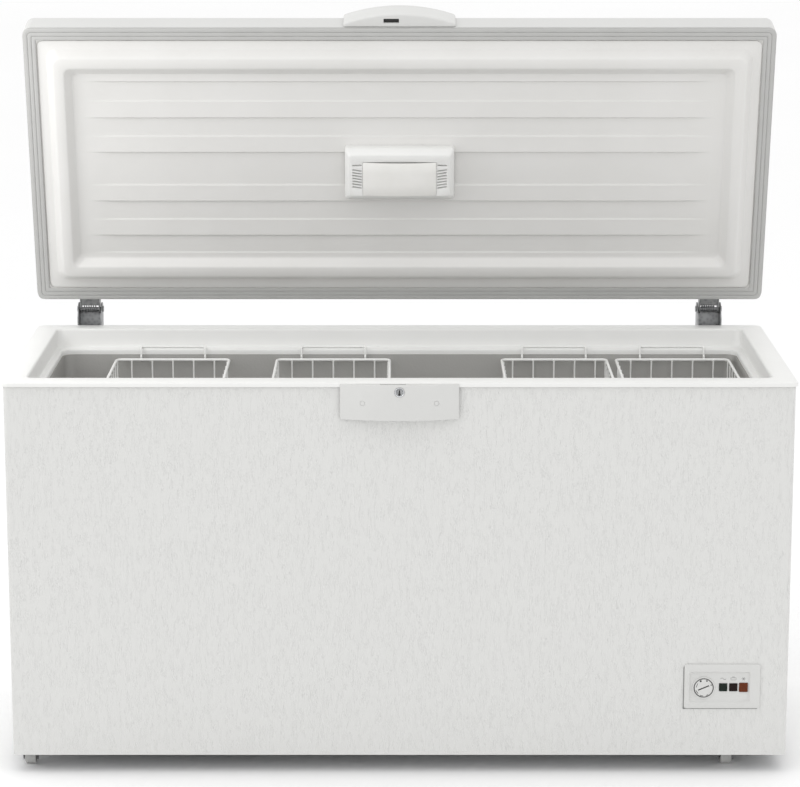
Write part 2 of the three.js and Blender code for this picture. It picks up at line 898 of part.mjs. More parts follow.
function lampCover() {
  const half = lampWindow.half - gap;
  const y = [lampWindow.y[0] + gap, lampWindow.y[1] - gap];
  const shape = new THREE.Shape();
  shape.moveTo(y[0], lamp.low + 3);
  shape.lineTo(y[0], lamp.low);
  shape.quadraticCurveTo((y[0] + y[1]) / 2, lamp.low - 7, y[1], lamp.low);
  shape.lineTo(y[1], lamp.low + 3);
  shape.quadraticCurveTo((y[0] + y[1]) / 2, lamp.low - 3, y[0], lamp.low + 3);
  return acrossX(shape, [-half, half], 8);
}

function lampBulb() {
  const profile = [
    [0, 0],
    [8, 0],
    [8, 18],
    [12, 30],
    [11, 46],
    [6, 56],
    [0, 59],
  ];
  const glass = new THREE.LatheGeometry(
    profile.map(([r, z]) => new THREE.Vector2(r, z)),
    12,
  );
  glass.rotateZ(-Math.PI / 2);
  return toSolid(glass);
}

// ---- assembly ----
place(cabinet, "outer_wrap", outerWrap(), whiteSteel);
place(cabinet, "back_panel", backPanel(), whiteSteel);
place(cabinet, "bottom_panel", bottomPanel(), zincSteel);
place(cabinet, "compressor_tray", compressorTray(), zincSteel);
place(cabinet, "insulation_foam", insulationFoam(), foamStuff);
place(cabinet, "inner_liner", innerLiner(), linerMetal);
place(cabinet, "evaporator_coil", evaporatorCoil(), copperMetal);
place(cabinet, "collar_frame", collarFrame(), whitePlastic);
place(cabinet, "drain_tube", drainTube(), greyPlastic);
place(cabinet, "drain_plug", drainPlug(), greyPlastic);
place(cabinet, "cord_gland", cordGland(), blackPlastic);
place(cabinet, "vent_grille", ventGrille(), blackPlastic);
place(cabinet, "compressor", compressor(), blackEnamel, [...compressorSpot, trayTop]);
place(cabinet, "filter_drier", filterDrier(), copperMetal, drierSpot);
place(cabinet, "discharge_pipe", dischargePipe(), copperMetal);

place(cabinet, "control_bezel", controlBezel(), whitePlastic);
place(cabinet, "thermostat_dial", thermostatDial(), whitePlastic, [dialSpot[0], 0, dialSpot[1]], [
  0,
  THREE.MathUtils.degToRad(-23),
  0,
]);
place(cabinet, "thermostat_body", thermostatBody(), blackPlastic, [dialSpot[0], 0, dialSpot[1]]);
place(cabinet, "power_lamp_lens", lens(greenX, lampZ, 1, 9), greenLens);
place(cabinet, "alarm_lamp_lens", lens(redX, lampZ, 1, 9), redLens);
place(cabinet, "fast_freeze_button", freezeButton(), orangeLens);

place(cabinet, "lock_housing", lockHousing(), whitePlastic);
place(cabinet, "lock_cylinder", lockCylinder(), chromeMetal, [0, 0, lockZ]);
place(cabinet, "lock_hook", lockHook(), zincSteel, [0, 0, lockZ]);

const lid = new THREE.Group();
lid.position.set(0, hingeDepth, hingeHeight);
lid.rotation.x = THREE.MathUtils.degToRad(-lidOpen);
cabinet.add(lid);
place(lid, "lid_shell", lidShell(), whiteSteel);
place(lid, "lid_foam", lidFoam(), foamStuff);
place(lid, "lid_liner", lidLiner(), whitePlastic);
place(lid, "lid_gasket", lidGasket(), rubberGrey);
place(lid, "lid_handle", lidHandle(), whitePlastic, [0, -hingeDepth, 0]);
place(lid, "lamp_base", lampBase(), whitePlastic);
place(lid, "lamp_cover", lampCover(), glassClear);
place(lid, "lamp_bulb", lampBulb(), glassClear, [-29, -326, -43.5]);

for (const [side, way] of [
  ["left", -1],
  ["right", 1],
]) {
  const x = way * hingeX;
  place(cabinet, `hinge_bracket_${side}`, hingeBracket(), zincSteel, [x, rimDepth, 0]);
  place(cabinet, `hinge_pin_${side}`, hingePin(), zincSteel, [x, hingeDepth, hingeHeight]);
  place(cabinet, `hinge_spring_${side}`, hingeSpring(), zincSteel, [x, hingeDepth, hingeHeight]);
  place(lid, `hinge_leaf_${side}`, hingeLeaf(), zincSteel, [x, 0, 0]);
}

for (const { side, x } of castorSpots) {
  for (const [end, y] of Object.entries(castorDepths)) {
    place(cabinet, `castor_bracket_${end}_${side}`, castorBracket(), zincSteel, [x, y, 0]);
    place(cabinet, `castor_roller_${end}_${side}`, castorRoller(), greyPlastic, [
      x,
      y,
      rollerRadius,
    ]);
  }
}

const bailPivotHeight = basketRim + bailWire + gap;
baskets.forEach(({ x, width }, i) => {
  const [front, back] = basketDepthRange;
  place(cabinet, `basket_${i + 1}`, basket(width), coatedWire, [x, 0, 0]);
  place(cabinet, `basket_${i + 1}_rear_bail`, bail(15), coatedWire, [x, back + 1, bailPivotHeight]);
  place(
    cabinet,
    `basket_${i + 1}_front_bail`,
    bail(15),
    coatedWire,
    [x, front - 1, bailPivotHeight],
    [0, 0, Math.PI],
  );
});

export default freezer;
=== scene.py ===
"""A chest freezer standing open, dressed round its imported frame.

Pieces are modelled in millimetres and put into the frame, in metres, when they are finished.
Cabinet pieces use the frame's own axes: x across the front, y to the back, z up.
Lid pieces use the shut lid's axes, measured from the hinge line: y runs to the back, z up.
Face pieces lie on the front: x across, y up, z out towards the room.
"""

import json
import math

import bmesh
import bpy
from mathutils import Matrix, Vector


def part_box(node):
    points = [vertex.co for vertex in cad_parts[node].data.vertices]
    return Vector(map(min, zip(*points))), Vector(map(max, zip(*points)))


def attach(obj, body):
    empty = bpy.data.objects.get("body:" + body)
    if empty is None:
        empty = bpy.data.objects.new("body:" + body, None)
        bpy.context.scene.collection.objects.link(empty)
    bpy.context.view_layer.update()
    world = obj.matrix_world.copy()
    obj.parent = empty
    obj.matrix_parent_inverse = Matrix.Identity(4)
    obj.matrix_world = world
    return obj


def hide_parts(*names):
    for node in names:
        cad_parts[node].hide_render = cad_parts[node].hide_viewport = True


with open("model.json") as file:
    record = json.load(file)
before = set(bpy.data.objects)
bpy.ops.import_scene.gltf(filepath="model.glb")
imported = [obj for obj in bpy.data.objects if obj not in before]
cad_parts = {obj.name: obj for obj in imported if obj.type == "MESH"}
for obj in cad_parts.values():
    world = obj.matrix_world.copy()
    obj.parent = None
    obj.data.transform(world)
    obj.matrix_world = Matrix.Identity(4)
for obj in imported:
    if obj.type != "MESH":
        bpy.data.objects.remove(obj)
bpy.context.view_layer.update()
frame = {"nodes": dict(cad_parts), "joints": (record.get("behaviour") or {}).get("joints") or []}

MM = 0.001


# ---- the frame's places ----
def joint(name):
    return next(j for j in frame["joints"] if j["name"] == name)


LID_OPEN = -joint("lid_hinge")["range_deg"][0]
CABINET = Matrix.Identity(4)
LID = Matrix.Translation(joint("lid_hinge")["pos_m"])
LID = LID @ Matrix.Rotation(-math.radians(LID_OPEN), 4, "X")
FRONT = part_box("collar_frame")[0].y / MM
FACE = Matrix.Translation((0, FRONT * MM, 0)) @ Matrix.Rotation(math.pi / 2, 4, "X")


def spans(node, axes=CABINET):
    """A node's reach along each of the axes, three (low, high) pairs in millimetres."""
    turned = axes.inverted()
    places = [turned @ v.co for v in frame["nodes"][node].data.vertices]
    return [(min(p[i] for p in places) / MM, max(p[i] for p in places) / MM) for i in range(3)]


def middle(span):
    return (span[0] + span[1]) / 2


def length(span):
    return span[1] - span[0]


def shrunk(span, inset):
    return (span[0] + inset, span[1] - inset)


# ---- working on a mesh ----
def put_down():
    """Leaves edit mode with nothing selected."""
    if bpy.context.object and bpy.context.object.mode == "EDIT":
        bpy.ops.object.mode_set(mode="OBJECT")
    bpy.ops.object.select_all(action="DESELECT")


def pick_up(piece):
    put_down()
    piece.select_set(True)
    bpy.context.view_layer.objects.active = piece


def open_mesh(piece):
    pick_up(piece)
    bpy.ops.object.mode_set(mode="EDIT")
    bpy.ops.mesh.select_all(action="DESELECT")


def started(name):
    """Names the primitive just added and puts its place into its mesh."""
    piece = bpy.context.object
    piece.name = piece.data.name = name
    bpy.ops.object.transform_apply(location=True, rotation=True, scale=True)
    return piece


def block(name, x, y, z):
    put_down()
    bpy.ops.mesh.primitive_cube_add(
        size=1,
        location=(middle(x), middle(y), middle(z)),
        scale=(length(x), length(y), length(z)),
    )
    return started(name)


def turned_bar(centre, size, turn):
    """A small bar, turned about z."""
    put_down()
    bpy.ops.mesh.primitive_cube_add(size=1, location=centre, scale=size, rotation=(0, 0, turn))
    return started("bar")


def sheet_of(name, x, y, z, columns=1, rows=1):
    put_down()
    bpy.ops.mesh.primitive_grid_add(
        x_subdivisions=columns, y_subdivisions=rows, size=1, location=(middle(x), middle(y), z)
    )
    bpy.ops.transform.resize(value=(length(x), length(y), 1))
    return started(name)


def drum(name, centre, radius, depth, turn=(0, 0, 0), sides=40):
    put_down()
    bpy.ops.mesh.primitive_cylinder_add(
        vertices=sides, radius=radius, depth=depth, location=centre, rotation=turn
    )
    return started(name)


def pick(piece, faces=None, edges=None, points=None):
    """Selects the faces, edges or points of the open mesh whose place passes the test."""
    kind = "FACE" if faces else "EDGE" if edges else "VERT"
    bpy.ops.mesh.select_mode(type=kind)
    bpy.ops.mesh.select_all(action="DESELECT")
    mesh = bmesh.from_edit_mesh(piece.data)
    if faces:
        for face in mesh.faces:
            face.select = bool(faces(face.calc_center_median(), face.normal))
    elif edges:
        for edge in mesh.edges:
            edge.select = bool(edges(edge.verts[0].co, edge.verts[1].co))
    else:
        for point in mesh.verts:
            point.select = bool(points(point.co))
    mesh.select_flush_mode()
    bmesh.update_edit_mesh(piece.data)


def near(value, target, slack=0.05):
    return abs(value - target) < slack


def slice_across(axis, places):
    """Cuts the whole open mesh by planes across one axis."""
    for place in places:
        bpy.ops.mesh.select_all(action="SELECT")
        where, way = [0, 0, 0], [0, 0, 0]
        where[axis], way[axis] = place, 1
        bpy.ops.mesh.bisect(plane_co=where, plane_no=way)


def shift_points(piece, moved):
    """Moves each point of the open mesh by what moved gives for its place."""
    mesh = bmesh.from_edit_mesh(piece.data)
    for point in mesh.verts:
        point.co += Vector(moved(point.co))
    bmesh.update_edit_mesh(piece.data)


def loft(name, levels, steps=6, ring=False, top=True, bottom=True):
    """A skin over rounded outlines. A level is (x span, y span, z, corner radius)."""
    loops = []
    for x, y, z, radius in levels:
        centre = Vector((middle(x), middle(y), z))
        if loops:
            bpy.ops.mesh.primitive_plane_add(size=1, location=centre)
            bpy.ops.transform.resize(value=(length(x), length(y), 1), center_override=centre)
        else:
            piece = sheet_of(name, x, y, z)
            open_mesh(piece)
            bpy.ops.mesh.select_mode(type="VERT")
            bpy.ops.mesh.select_all(action="SELECT")
        bpy.ops.mesh.bevel(affect="VERTICES", offset=radius, segments=steps)
        mesh = bmesh.from_edit_mesh(piece.data)
        loop = [point for point in mesh.verts if point.select]
        loop.sort(key=lambda point: math.atan2(point.co.y - centre.y, point.co.x - centre.x))
        loops.append([tuple(point.co) for point in loop])
    bpy.ops.mesh.select_all(action="SELECT")
    bpy.ops.mesh.delete(type="VERT")
    mesh = bmesh.from_edit_mesh(piece.data)
    rows = [[mesh.verts.new(place) for place in loop] for loop in loops]
    pairs = list(zip(rows, rows[1:])) + ([(rows[-1], rows[0])] if ring else [])
    for low, high in pairs:
        for n in range(len(low)):
            mesh.faces.new((low[n - 1], low[n], high[n], high[n - 1]))
    if not ring:
        for wanted, row in ((bottom, rows[0]), (top, rows[-1])):
            if wanted:
                mesh.faces.new(row)
    bmesh.update_edit_mesh(piece.data)
    face_out()
    return piece


def face_out():
    """Merges doubles of the open mesh and turns its faces outwards."""
    bpy.ops.mesh.select_mode(type="VERT")
    bpy.ops.mesh.select_all(action="SELECT")
    bpy.ops.mesh.remove_doubles(threshold=0.001)
    bpy.ops.mesh.normals_make_consistent(inside=False)


def modified(piece, kind, **settings):
    """Adds a modifier, sets it and applies it."""
    pick_up(piece)
    modifier = piece.modifiers.new(kind.title(), kind)
    for key, value in settings.items():
        setattr(modifier, key, value)
    bpy.ops.object.modifier_apply(modifier=modifier.name)
    return piece


def softened(piece, width, segments=2, angle=30):
    return modified(
        piece,
        "BEVEL",
        width=width,
        segments=segments,
        limit_method="ANGLE",
        angle_limit=math.radians(angle),
        use_clamp_overlap=True,
    )


def joined(name, pieces):
    put_down()
    for piece in pieces:
        piece.select_set(True)
    bpy.context.view_layer.objects.active = pieces[0]
    if len(pieces) > 1:
        bpy.ops.object.join()
    whole = bpy.context.object
    whole.name = whole.data.name = name
    return whole


def carved(piece, tools):
    """Cuts the tools out of the piece and removes them."""
    cutter = joined("cutter", tools)
    modified(piece, "BOOLEAN", object=cutter, operation="DIFFERENCE", solver="EXACT")
    bpy.data.objects.remove(cutter)
    return piece


def wire(name, runs, thickness, sides=8):
    """Round wires, each along its own points. A closed run is marked by True after them."""
    line = bpy.data.curves.new(name, "CURVE")
    line.dimensions = "3D"
    line.bevel_depth = thickness / 2
    line.bevel_resolution = max(0, sides // 2 - 2)
    line.use_fill_caps = True
    for places, closed in runs:
        run = line.splines.new("POLY")
        run.points.add(len(places) - 1)
        for point, place in zip(run.points, places):
            point.co = (*place, 1)
        run.use_cyclic_u = closed
    piece = bpy.data.objects.new(name, line)
    bpy.context.scene.collection.objects.link(piece)
    pick_up(piece)
    bpy.ops.object.convert(target="MESH")
    return bpy.context.object


def rounded(corners, radius, closed=False, steps=5):
    """The points of a line with its corners turned in arcs."""
    count = len(corners)
    places = []
    for i, corner in enumerate(corners):
        corner = Vector(corner)
        if not closed and i in (0, count - 1):
            places.append(corner)
            continue
        before = (Vector(corners[i - 1]) - corner).normalized()
        after = (Vector(corners[(i + 1) % count]) - corner).normalized()
        half = before.angle(after) / 2
        back = radius / math.tan(half)
        centre = corner + (before + after).normalized() * (radius / math.sin(half))
        start, end = corner + before * back - centre, corner + after * back - centre
        turn = start.angle(end)
        for step in range(steps + 1):
            share = step / steps
            arm = (
                start * math.sin((1 - share) * turn) + end * math.sin(share * turn)
            ) / math.sin(turn)
            places.append(centre + arm)
    return places


def dressed(piece, axes, body, finish, nodes, smooth=35):
    """Puts a finished piece into the frame with its finish, body and nodes."""
    pick_up(piece)
    piece.data.transform(axes @ Matrix.Scale(MM, 4))
    piece.data.update()
    bpy.ops.object.shade_smooth_by_angle(angle=math.radians(smooth))
    piece.data.materials.clear()
    piece.data.materials.append(finish)
    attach(piece, body)
    if nodes:
        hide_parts(*nodes)
    return piece


def refined(node, body, finish, width=0.8, segments=2, smooth=35):
    """A CAD node's own shape as one clean mesh with softened edges."""
    pick_up(frame["nodes"][node])
    bpy.ops.object.duplicate()
    piece = bpy.context.object
    for key in list(piece.keys()):
        del piece[key]
    piece.parent = None
    piece.name = piece.data.name = f"{node}_dressed"
    piece.data.transform(Matrix.Scale(1 / MM, 4))
    open_mesh(piece)
    bpy.ops.mesh.select_all(action="SELECT")
    bpy.ops.mesh.remove_doubles(threshold=0.005)
    bpy.ops.mesh.dissolve_limited(angle_limit=math.radians(2))
    put_down()
    if width:
        softened(piece, width, segments)
    return dressed(piece, CABINET, body, finish, [node], smooth)


# ---- finishes ----
def tint(code):
    """A linear colour from a sheet code such as e2e2e0."""
    parts = [int(code[i : i + 2], 16) / 255 for i in (0, 2, 4)]
    return (*(p / 12.92 if p <= 0.04045 else ((p + 0.055) / 1.055) ** 2.4 for p in parts), 1)


def feed(tree, value, socket):
    if isinstance(value, Amount):
        value = value.socket
    if isinstance(value, bpy.types.NodeSocket):
        tree.links.new(value, socket)
    else:
        socket.default_value = value


class Amount:
    """A number that varies over a surface. Arithmetic on it adds Math nodes."""

    def __init__(self, tree, socket):
        self.tree, self.socket = tree, socket

    def maths(self, operation, *values):
        node = self.tree.nodes.new("ShaderNodeMath")
        node.operation = operation
        for value, socket in zip(values, node.inputs):
            feed(self.tree, value, socket)
        return Amount(self.tree, node.outputs[0])

    def __add__(self, other):
        return self.maths("ADD", self, other)

    def __sub__(self, other):
        return self.maths("SUBTRACT", self, other)

    def __rsub__(self, other):
        return self.maths("SUBTRACT", other, self)

    def __mul__(self, other):
        return self.maths("MULTIPLY", self, other)

    def __abs__(self):
        return self.maths("ABSOLUTE", self)

    __radd__ = __add__
    __rmul__ = __mul__

    def eased(self, low, high):
        """0 below low, 1 above high and a smooth step between."""
        node = self.tree.nodes.new("ShaderNodeMapRange")
        node.interpolation_type = "SMOOTHSTEP"
        for value, socket in zip((self, low, high), node.inputs):
            feed(self.tree, value, socket)
        return Amount(self.tree, node.outputs[0])


class Finish:
    """A material in the making: one Principled shader and what feeds it."""

    def __init__(self, name, **constants):
        self.material = bpy.data.materials.new(name)
        self.material.use_nodes = True
        self.tree = self.material.node_tree
        self.tree.nodes.clear()
        named = {key.replace("_", " "): value for key, value in constants.items()}
        self.shader = self.node("ShaderNodeBsdfPrincipled", {}, named)
        self.node("ShaderNodeOutputMaterial", {}, {"Surface": self.shader.outputs[0]})
        self.place = self.node("ShaderNodeTexCoord").outputs["Object"]

    def node(self, kind, settings=None, sockets=None):
        made = self.tree.nodes.new(kind)
        for key, value in (settings or {}).items():
            setattr(made, key, value)
        for key, value in (sockets or {}).items():
            feed(self.tree, value, made.inputs[key])
        return made

    def sets(self, socket, value):
        feed(self.tree, value, self.shader.inputs[socket])

    def scaled(self, stretch):
        sockets = {"Vector": self.place, "Scale": stretch}
        return self.node("ShaderNodeMapping", {}, sockets).outputs[0]

    def noise(self, scale, detail=2.0, stretch=(1, 1, 1), roughness=0.5, distortion=0.0):
        sockets = {
            "Vector": self.scaled(stretch),
            "Scale": scale,
            "Detail": detail,
            "Roughness": roughness,
            "Distortion": distortion,
        }
        return Amount(self.tree, self.node("ShaderNodeTexNoise", {}, sockets).outputs[0])

    def cells(self, scale, stretch=(1, 1, 1)):
        sockets = {"Vector": self.scaled(stretch), "Scale": scale}
        return Amount(self.tree, self.node("ShaderNodeTexVoronoi", {}, sockets).outputs[0])

    def mixed(self, share, first, second):
        """A colour between two colours."""
        node = self.node("ShaderNodeMix", {"data_type": "RGBA"}, {0: share, 6: first, 7: second})
        return node.outputs[2]

    def relief(self, height, depth, strength=1.0):
        """Bump of that depth in millimetres where height goes from 0 to 1."""
        sockets = {"Height": height, "Distance": depth * MM, "Strength": strength}
        self.sets("Normal", self.node("ShaderNodeBump", {}, sockets).outputs[0])


def embossed_paint():
    """White paint over steel rolled with short upright bark-like creases."""
    f = Finish("embossed_paint", Specular_IOR_Level=0.45)
    drift = f.noise(60, detail=2, stretch=(1, 1, 0.3))
    crease = f.noise(460, detail=2, stretch=(1, 1, 0.15), roughness=0.5, distortion=0.5)
    line = 1 - abs(crease - 0.5).eased(0.0, 0.07)
    broken = f.noise(130, detail=1, stretch=(1, 1, 0.3)).eased(0.36, 0.56)
    height = line * broken + drift * 0.08
    f.relief(height, 0.22)
    # The creases are painted a little lighter than the paint between them: a painted highlight along
    # the creases
    f.sets("Base Color", f.mixed(line * broken, tint("d9d9d7"), tint("dfdfdd")))
    f.sets("Roughness", 0.42 + drift * 0.12)
    return f.material


def plain_paint():
    """Smooth white paint with a faint orange-peel surface."""
    f = Finish("plain_paint", Specular_IOR_Level=0.5, Coat_Weight=0.15)
    peel = f.noise(260, detail=1)
    cloud = f.noise(6, detail=2)
    f.relief(peel, 0.03)
    f.sets("Base Color", f.mixed(cloud, tint("c8c8c6"), tint("cececc")))
    f.sets("Roughness", 0.34 + peel * 0.08)
    return f.material


def moulded(name, low, high, gloss=0.36, grain=0.05, scale=900):
    """Moulded plastic with a fine spark-eroded grain."""
    f = Finish(name, Specular_IOR_Level=0.5)
    fine = f.noise(scale, detail=2)
    cloud = f.noise(9, detail=2)
    f.relief(fine, grain)
    f.sets("Base Color", f.mixed(cloud, tint(low), tint(high)))
    f.sets("Roughness", gloss + fine * 0.1)
    return f.material


def stucco_aluminium():
    """Dull aluminium sheet, rolled with a shallow pebble."""
    f = Finish("stucco_aluminium", Specular_IOR_Level=0.4)
    pebble = f.cells(240, stretch=(1, 1, 0.8))
    cloud = f.noise(5, detail=3)
    f.relief(pebble, 0.16)
    f.sets("Base Color", f.mixed(cloud, tint("a1a09d"), tint("adaca9")))
    f.sets("Metallic", 0.3 + cloud * 0.1)
    f.sets("Roughness", 0.5 + cloud * 0.12)
    return f.material


def zinc_plate():
    """Dull zinc plating with its faint spangle."""
    f = Finish("zinc_plate")
    spangle = f.cells(130)
    scratch = f.noise(500, detail=2, stretch=(1, 1, 0.12))
    f.relief(scratch, 0.02)
    f.sets("Base Color", f.mixed(spangle.eased(0.1, 0.7), tint("8d8e8f"), tint("a3a4a5")))
    f.sets("Metallic", 0.75 + spangle * 0.1)
    f.sets("Roughness", 0.36 + scratch * 0.16)
    return f.material


def bright_chrome():
    f = Finish("bright_chrome")
    turned = f.noise(700, detail=1, stretch=(1, 0.1, 1))
    f.sets("Base Color", f.mixed(turned, tint("c9cacc"), tint("dfe0e2")))
    f.sets("Metallic", 1.0)
    f.sets("Roughness", 0.1 + turned * 0.08)
    f.relief(turned, 0.01)
    return f.material


def dipped_wire():
    """White plastic coat dipped over steel wire, a little uneven."""
    f = Finish("dipped_wire", Specular_IOR_Level=0.5, Coat_Weight=0.2)
    lumps = f.noise(140, detail=1)
    f.relief(lumps, 0.12)
    f.sets("Base Color", f.mixed(lumps, tint("eeeeec"), tint("f6f6f4")))
    f.sets("Roughness", 0.3 + lumps * 0.1)
    return f.material


def soft_rubber():
    """Pale grey magnetic seal, fine-grained and matt."""
    f = Finish("soft_rubber", Specular_IOR_Level=0.3)
    grain = f.noise(1200, detail=2)
    dust = f.noise(20, detail=3)
    f.relief(grain, 0.03)
    f.sets("Base Color", f.mixed(dust, tint("b6b6b4"), tint("bfbfbd")))
    f.sets("Roughness", 0.7 + grain * 0.1)
    return f.material


def coloured_glass(name, dark, light):
    """A deeply coloured clear-faced lens."""
    f = Finish(name, Specular_IOR_Level=0.12)
    depth = f.noise(260, detail=1)
    f.sets("Base Color", f.mixed(depth, tint(dark), tint(light)))
    f.sets("Roughness", 0.3 + depth * 0.1)
    f.relief(depth, 0.02)
    return f.material


def frosted_cover():
    """The lamp's milky cover with its fine upright prisms."""
    f = Finish("frosted_cover", Specular_IOR_Level=0.5)
    prisms = f.noise(800, detail=1, stretch=(1, 0.05, 0.05))
    cloud = f.noise(30, detail=2)
    f.relief(prisms, 0.04)
    f.sets("Base Color", f.mixed(cloud, tint("eae9e5"), tint("f2f1ee")))
    f.sets("Roughness", 0.28 + prisms * 0.1)
    return f.material


def foam_fill():
    f = Finish("foam_fill", Specular_IOR_Level=0.2)
    pores = f.cells(420)
    lumps = f.noise(24, detail=3)
    f.relief(pores, 0.5)
    f.sets("Base Color", f.mixed(lumps, tint("d8c88e"), tint("e9dcae")))
    f.sets("Roughness", 0.88 + pores * 0.1)
    return f.material


def drawn_copper():
    f = Finish("drawn_copper")
    tarnish = f.noise(36, detail=3)
    f.relief(f.noise(600, detail=1), 0.02)
    f.sets("Base Color", f.mixed(tarnish.eased(0.35, 0.7), tint("b8734a"), tint("8a5236")))
    f.sets("Metallic", 0.95 - tarnish * 0.15)
    f.sets("Roughness", 0.25 + tarnish * 0.25)
    return f.material


def pot_enamel():
    f = Finish("pot_enamel", Specular_IOR_Level=0.5, Coat_Weight=0.3)
    runs = f.noise(40, detail=2, stretch=(1, 1, 0.4))
    f.relief(runs, 0.2)
    f.sets("Base Color", f.mixed(runs, tint("131314"), tint("1d1d1f")))
    f.sets("Roughness", 0.25 + runs * 0.2)
    return f.material


def printed_ink(name, dark, light):
    f = Finish(name, Specular_IOR_Level=0.3)
    worn = f.noise(900, detail=2)
    f.sets("Base Color", f.mixed(worn.eased(0.45, 0.75), tint(dark), tint(light)))
    f.sets("Roughness", 0.5 + worn * 0.15)
    return f.material


FINISHES = {
    "embossed": embossed_paint(),
    "paint": plain_paint(),
    "white": moulded("white_moulding", "e6e6e4", "ececea"),
    # Painted shade: the same white moulding as white, made darker for the lock plate, grip, panel and
    # dial knob
    "painted_shade_white": moulded("white_moulding_painted_shade", "d0d0ce", "d6d6d4"),
    "lining": moulded("lid_lining", "dddcd9", "e3e2e0", gloss=0.4, grain=0.04, scale=500),
    "grey": moulded("grey_moulding", "b4b4b2", "c0c0be", gloss=0.45),
    "black": moulded("black_moulding", "171716", "201f1e", gloss=0.45),
    "tub": stucco_aluminium(),
    "zinc": zinc_plate(),
    "chrome": bright_chrome(),
    "wire": dipped_wire(),
    "seal": soft_rubber(),
    "green": coloured_glass("green_glass", "18201c", "222c26"),
    "red": coloured_glass("red_glass", "180f0e", "241614"),
    "orange": coloured_glass("orange_cap", "5a2c18", "6a341c"),
    "cover": frosted_cover(),
    "foam": foam_fill(),
    "copper": drawn_copper(),
    "enamel": pot_enamel(),
    "ink": printed_ink("black_ink", "2b2b2a", "3b3b3a"),
    # Grey print ink, also used as painted shadow along the panel's left and lower edges
    "ink_and_painted_shadow": printed_ink("grey_ink_and_painted_shadow", "8b8b8a", "9a9a98"),
}


# ---- cabinet ----
RIM_PROFILE = (
    # inset, height from the top, extra at the front, less at the ends, corner radius
    (0, -8, 0, 0, 18),
    (0, -2.6, 0, 0, 18),
    (0.8, -0.8, 0, 0, 17.4),
    (2.6, 0, 0, 0, 16),
    (41.5, 0, 10, 0, 14),
    (43.8, -0.6, 10, 0, 15),
    (45.3, -2.2, 10, 0, 16),
    (46, -5, 10, 0, 17),
    (50, -33.5, 10, 3.3, 22),
    (51.2, -36.8, 10, 3.3, 22),
    (54.4, -38, 10, 3.3, 21),
    (65.8, -38, 10, 11, 25),
    (68.8, -38.7, 10, 11, 25),
    (70.7, -40.4, 10, 11, 25),
    (71.5, -43.2, 10, 11, 25),
    (71.5, -50.3, 10, 11, 25),
    (68.5, -50.3, 10, 11, 25),
    (67, -42.4, 10, 11, 25),
    (48, -42.4, 10, 3.3, 21),
    (42.5, -4.2, 10, 0, 15),
    (4, -4.2, 0, 0, 15),
    (4, -8, 0, 0, 15),
)


def rim_collar():
    """The moulded frame round the opening, with the ledge that the lid shuts on."""
    x, y, z = spans("collar_frame")
    levels = [
        (
            shrunk(x, inset - ends),
            (y[0] + inset + front, y[1] - inset),
            z[1] + height,
            radius,
        )
        for inset, height, front, ends, radius in RIM_PROFILE
    ]
    piece = loft("rim_collar", levels, steps=8, ring=True)
    return dressed(piece, CABINET, "cabinet", FINISHES["white"], ["collar_frame"])


SHEET_STEEL = 1.0
WRAP_CORNER = 9
PANEL_OVERLAP = 4


def steel_wrap():
    """Front and two sides of one folded sheet, with the hole for the panel."""
    x, y, z = spans("outer_wrap")
    hole_x, _, hole_z = spans("control_bezel")
    hole_x, hole_z = shrunk(hole_x, PANEL_OVERLAP), shrunk(hole_z, PANEL_OVERLAP + 0.5)
    piece = sheet_of("steel_wrap", x, y, z[0])
    open_mesh(piece)
    pick(piece, points=lambda p: near(p.y, y[0]))
    bpy.ops.mesh.bevel(affect="VERTICES", offset=WRAP_CORNER, segments=8)
    bpy.ops.mesh.select_all(action="SELECT")
    bpy.ops.mesh.delete(type="ONLY_FACE")
    pick(piece, edges=lambda a, b: near(a.y, y[1]) and near(b.y, y[1]))
    bpy.ops.mesh.delete(type="EDGE")
    bpy.ops.mesh.select_all(action="SELECT")
    bpy.ops.mesh.extrude_region_move(TRANSFORM_OT_translate={"value": (0, 0, length(z))})
    slice_across(0, hole_x)
    slice_across(2, hole_z)
    pick(
        piece,
        faces=lambda c, n: near(c.y, y[0])
        and hole_x[0] < c.x < hole_x[1]
        and hole_z[0] < c.z < hole_z[1],
    )
    bpy.ops.mesh.delete(type="FACE")
    face_out()
    modified(piece, "SOLIDIFY", thickness=SHEET_STEEL, offset=-1.0)
    softened(piece, 0.3, 1, angle=60)
    return dressed(piece, CABINET, "cabinet", FINISHES["embossed"], ["outer_wrap"])


# ---- bow-fronted grip and lock ----
# reaches in millimetres from the middle, the front or the lower edge of the piece
BOW = 20
SCREW_OUT, SCREW_UP, SCREW_LEAN = 72, 34, 0.205
SCREW_OUTER, SCREW_INNER = 5.2, 4.2
HOOK_SLOT_X, HOOK_SLOT_Y, HOOK_SLOT_Z = (-38, 12), (11, 5), (29, 11)
CATCH_SLOT_X, CATCH_SLOT_Y = (-33, -1), (9.5, 18.5)
BARREL_LIP = 0.6
FACE_RADIUS = 6.4
KEY_HALF, KEY_BELOW, KEY_ABOVE = 1.3, 6, 4.6
WEDGE_RADIUS, WEDGE_DEPTH = 2.3, 2.2
TO_FRONT = (math.pi / 2, 0, 0)


def bow_rise(x, half, rise):
    """How far an arc of that rise over a width of two halves stands out at x."""
    radius = (half**2 + rise**2) / (2 * rise)
    return math.sqrt(radius**2 - x**2) - (radius - rise)


def bowed_block(name, x, y, z, rise, slices=28):
    """A block whose front stands out in an arc."""
    half = length(x) / 2
    ends = y[0] + rise
    piece = block(name, x, (ends, y[1]), z)
    open_mesh(piece)
    slice_across(0, [x[0] + length(x) * n / slices for n in range(1, slices)])
    shift_points(
        piece, lambda p: (0, -bow_rise(p.x, half, rise) if near(p.y, ends) else 0, 0)
    )
    put_down()
    return piece


def disc_tool(centre, radius, depth, turn=TO_FRONT, sides=40):
    """A short drum facing the front, to cut with."""
    return drum("tool", centre, radius, depth, turn, sides)


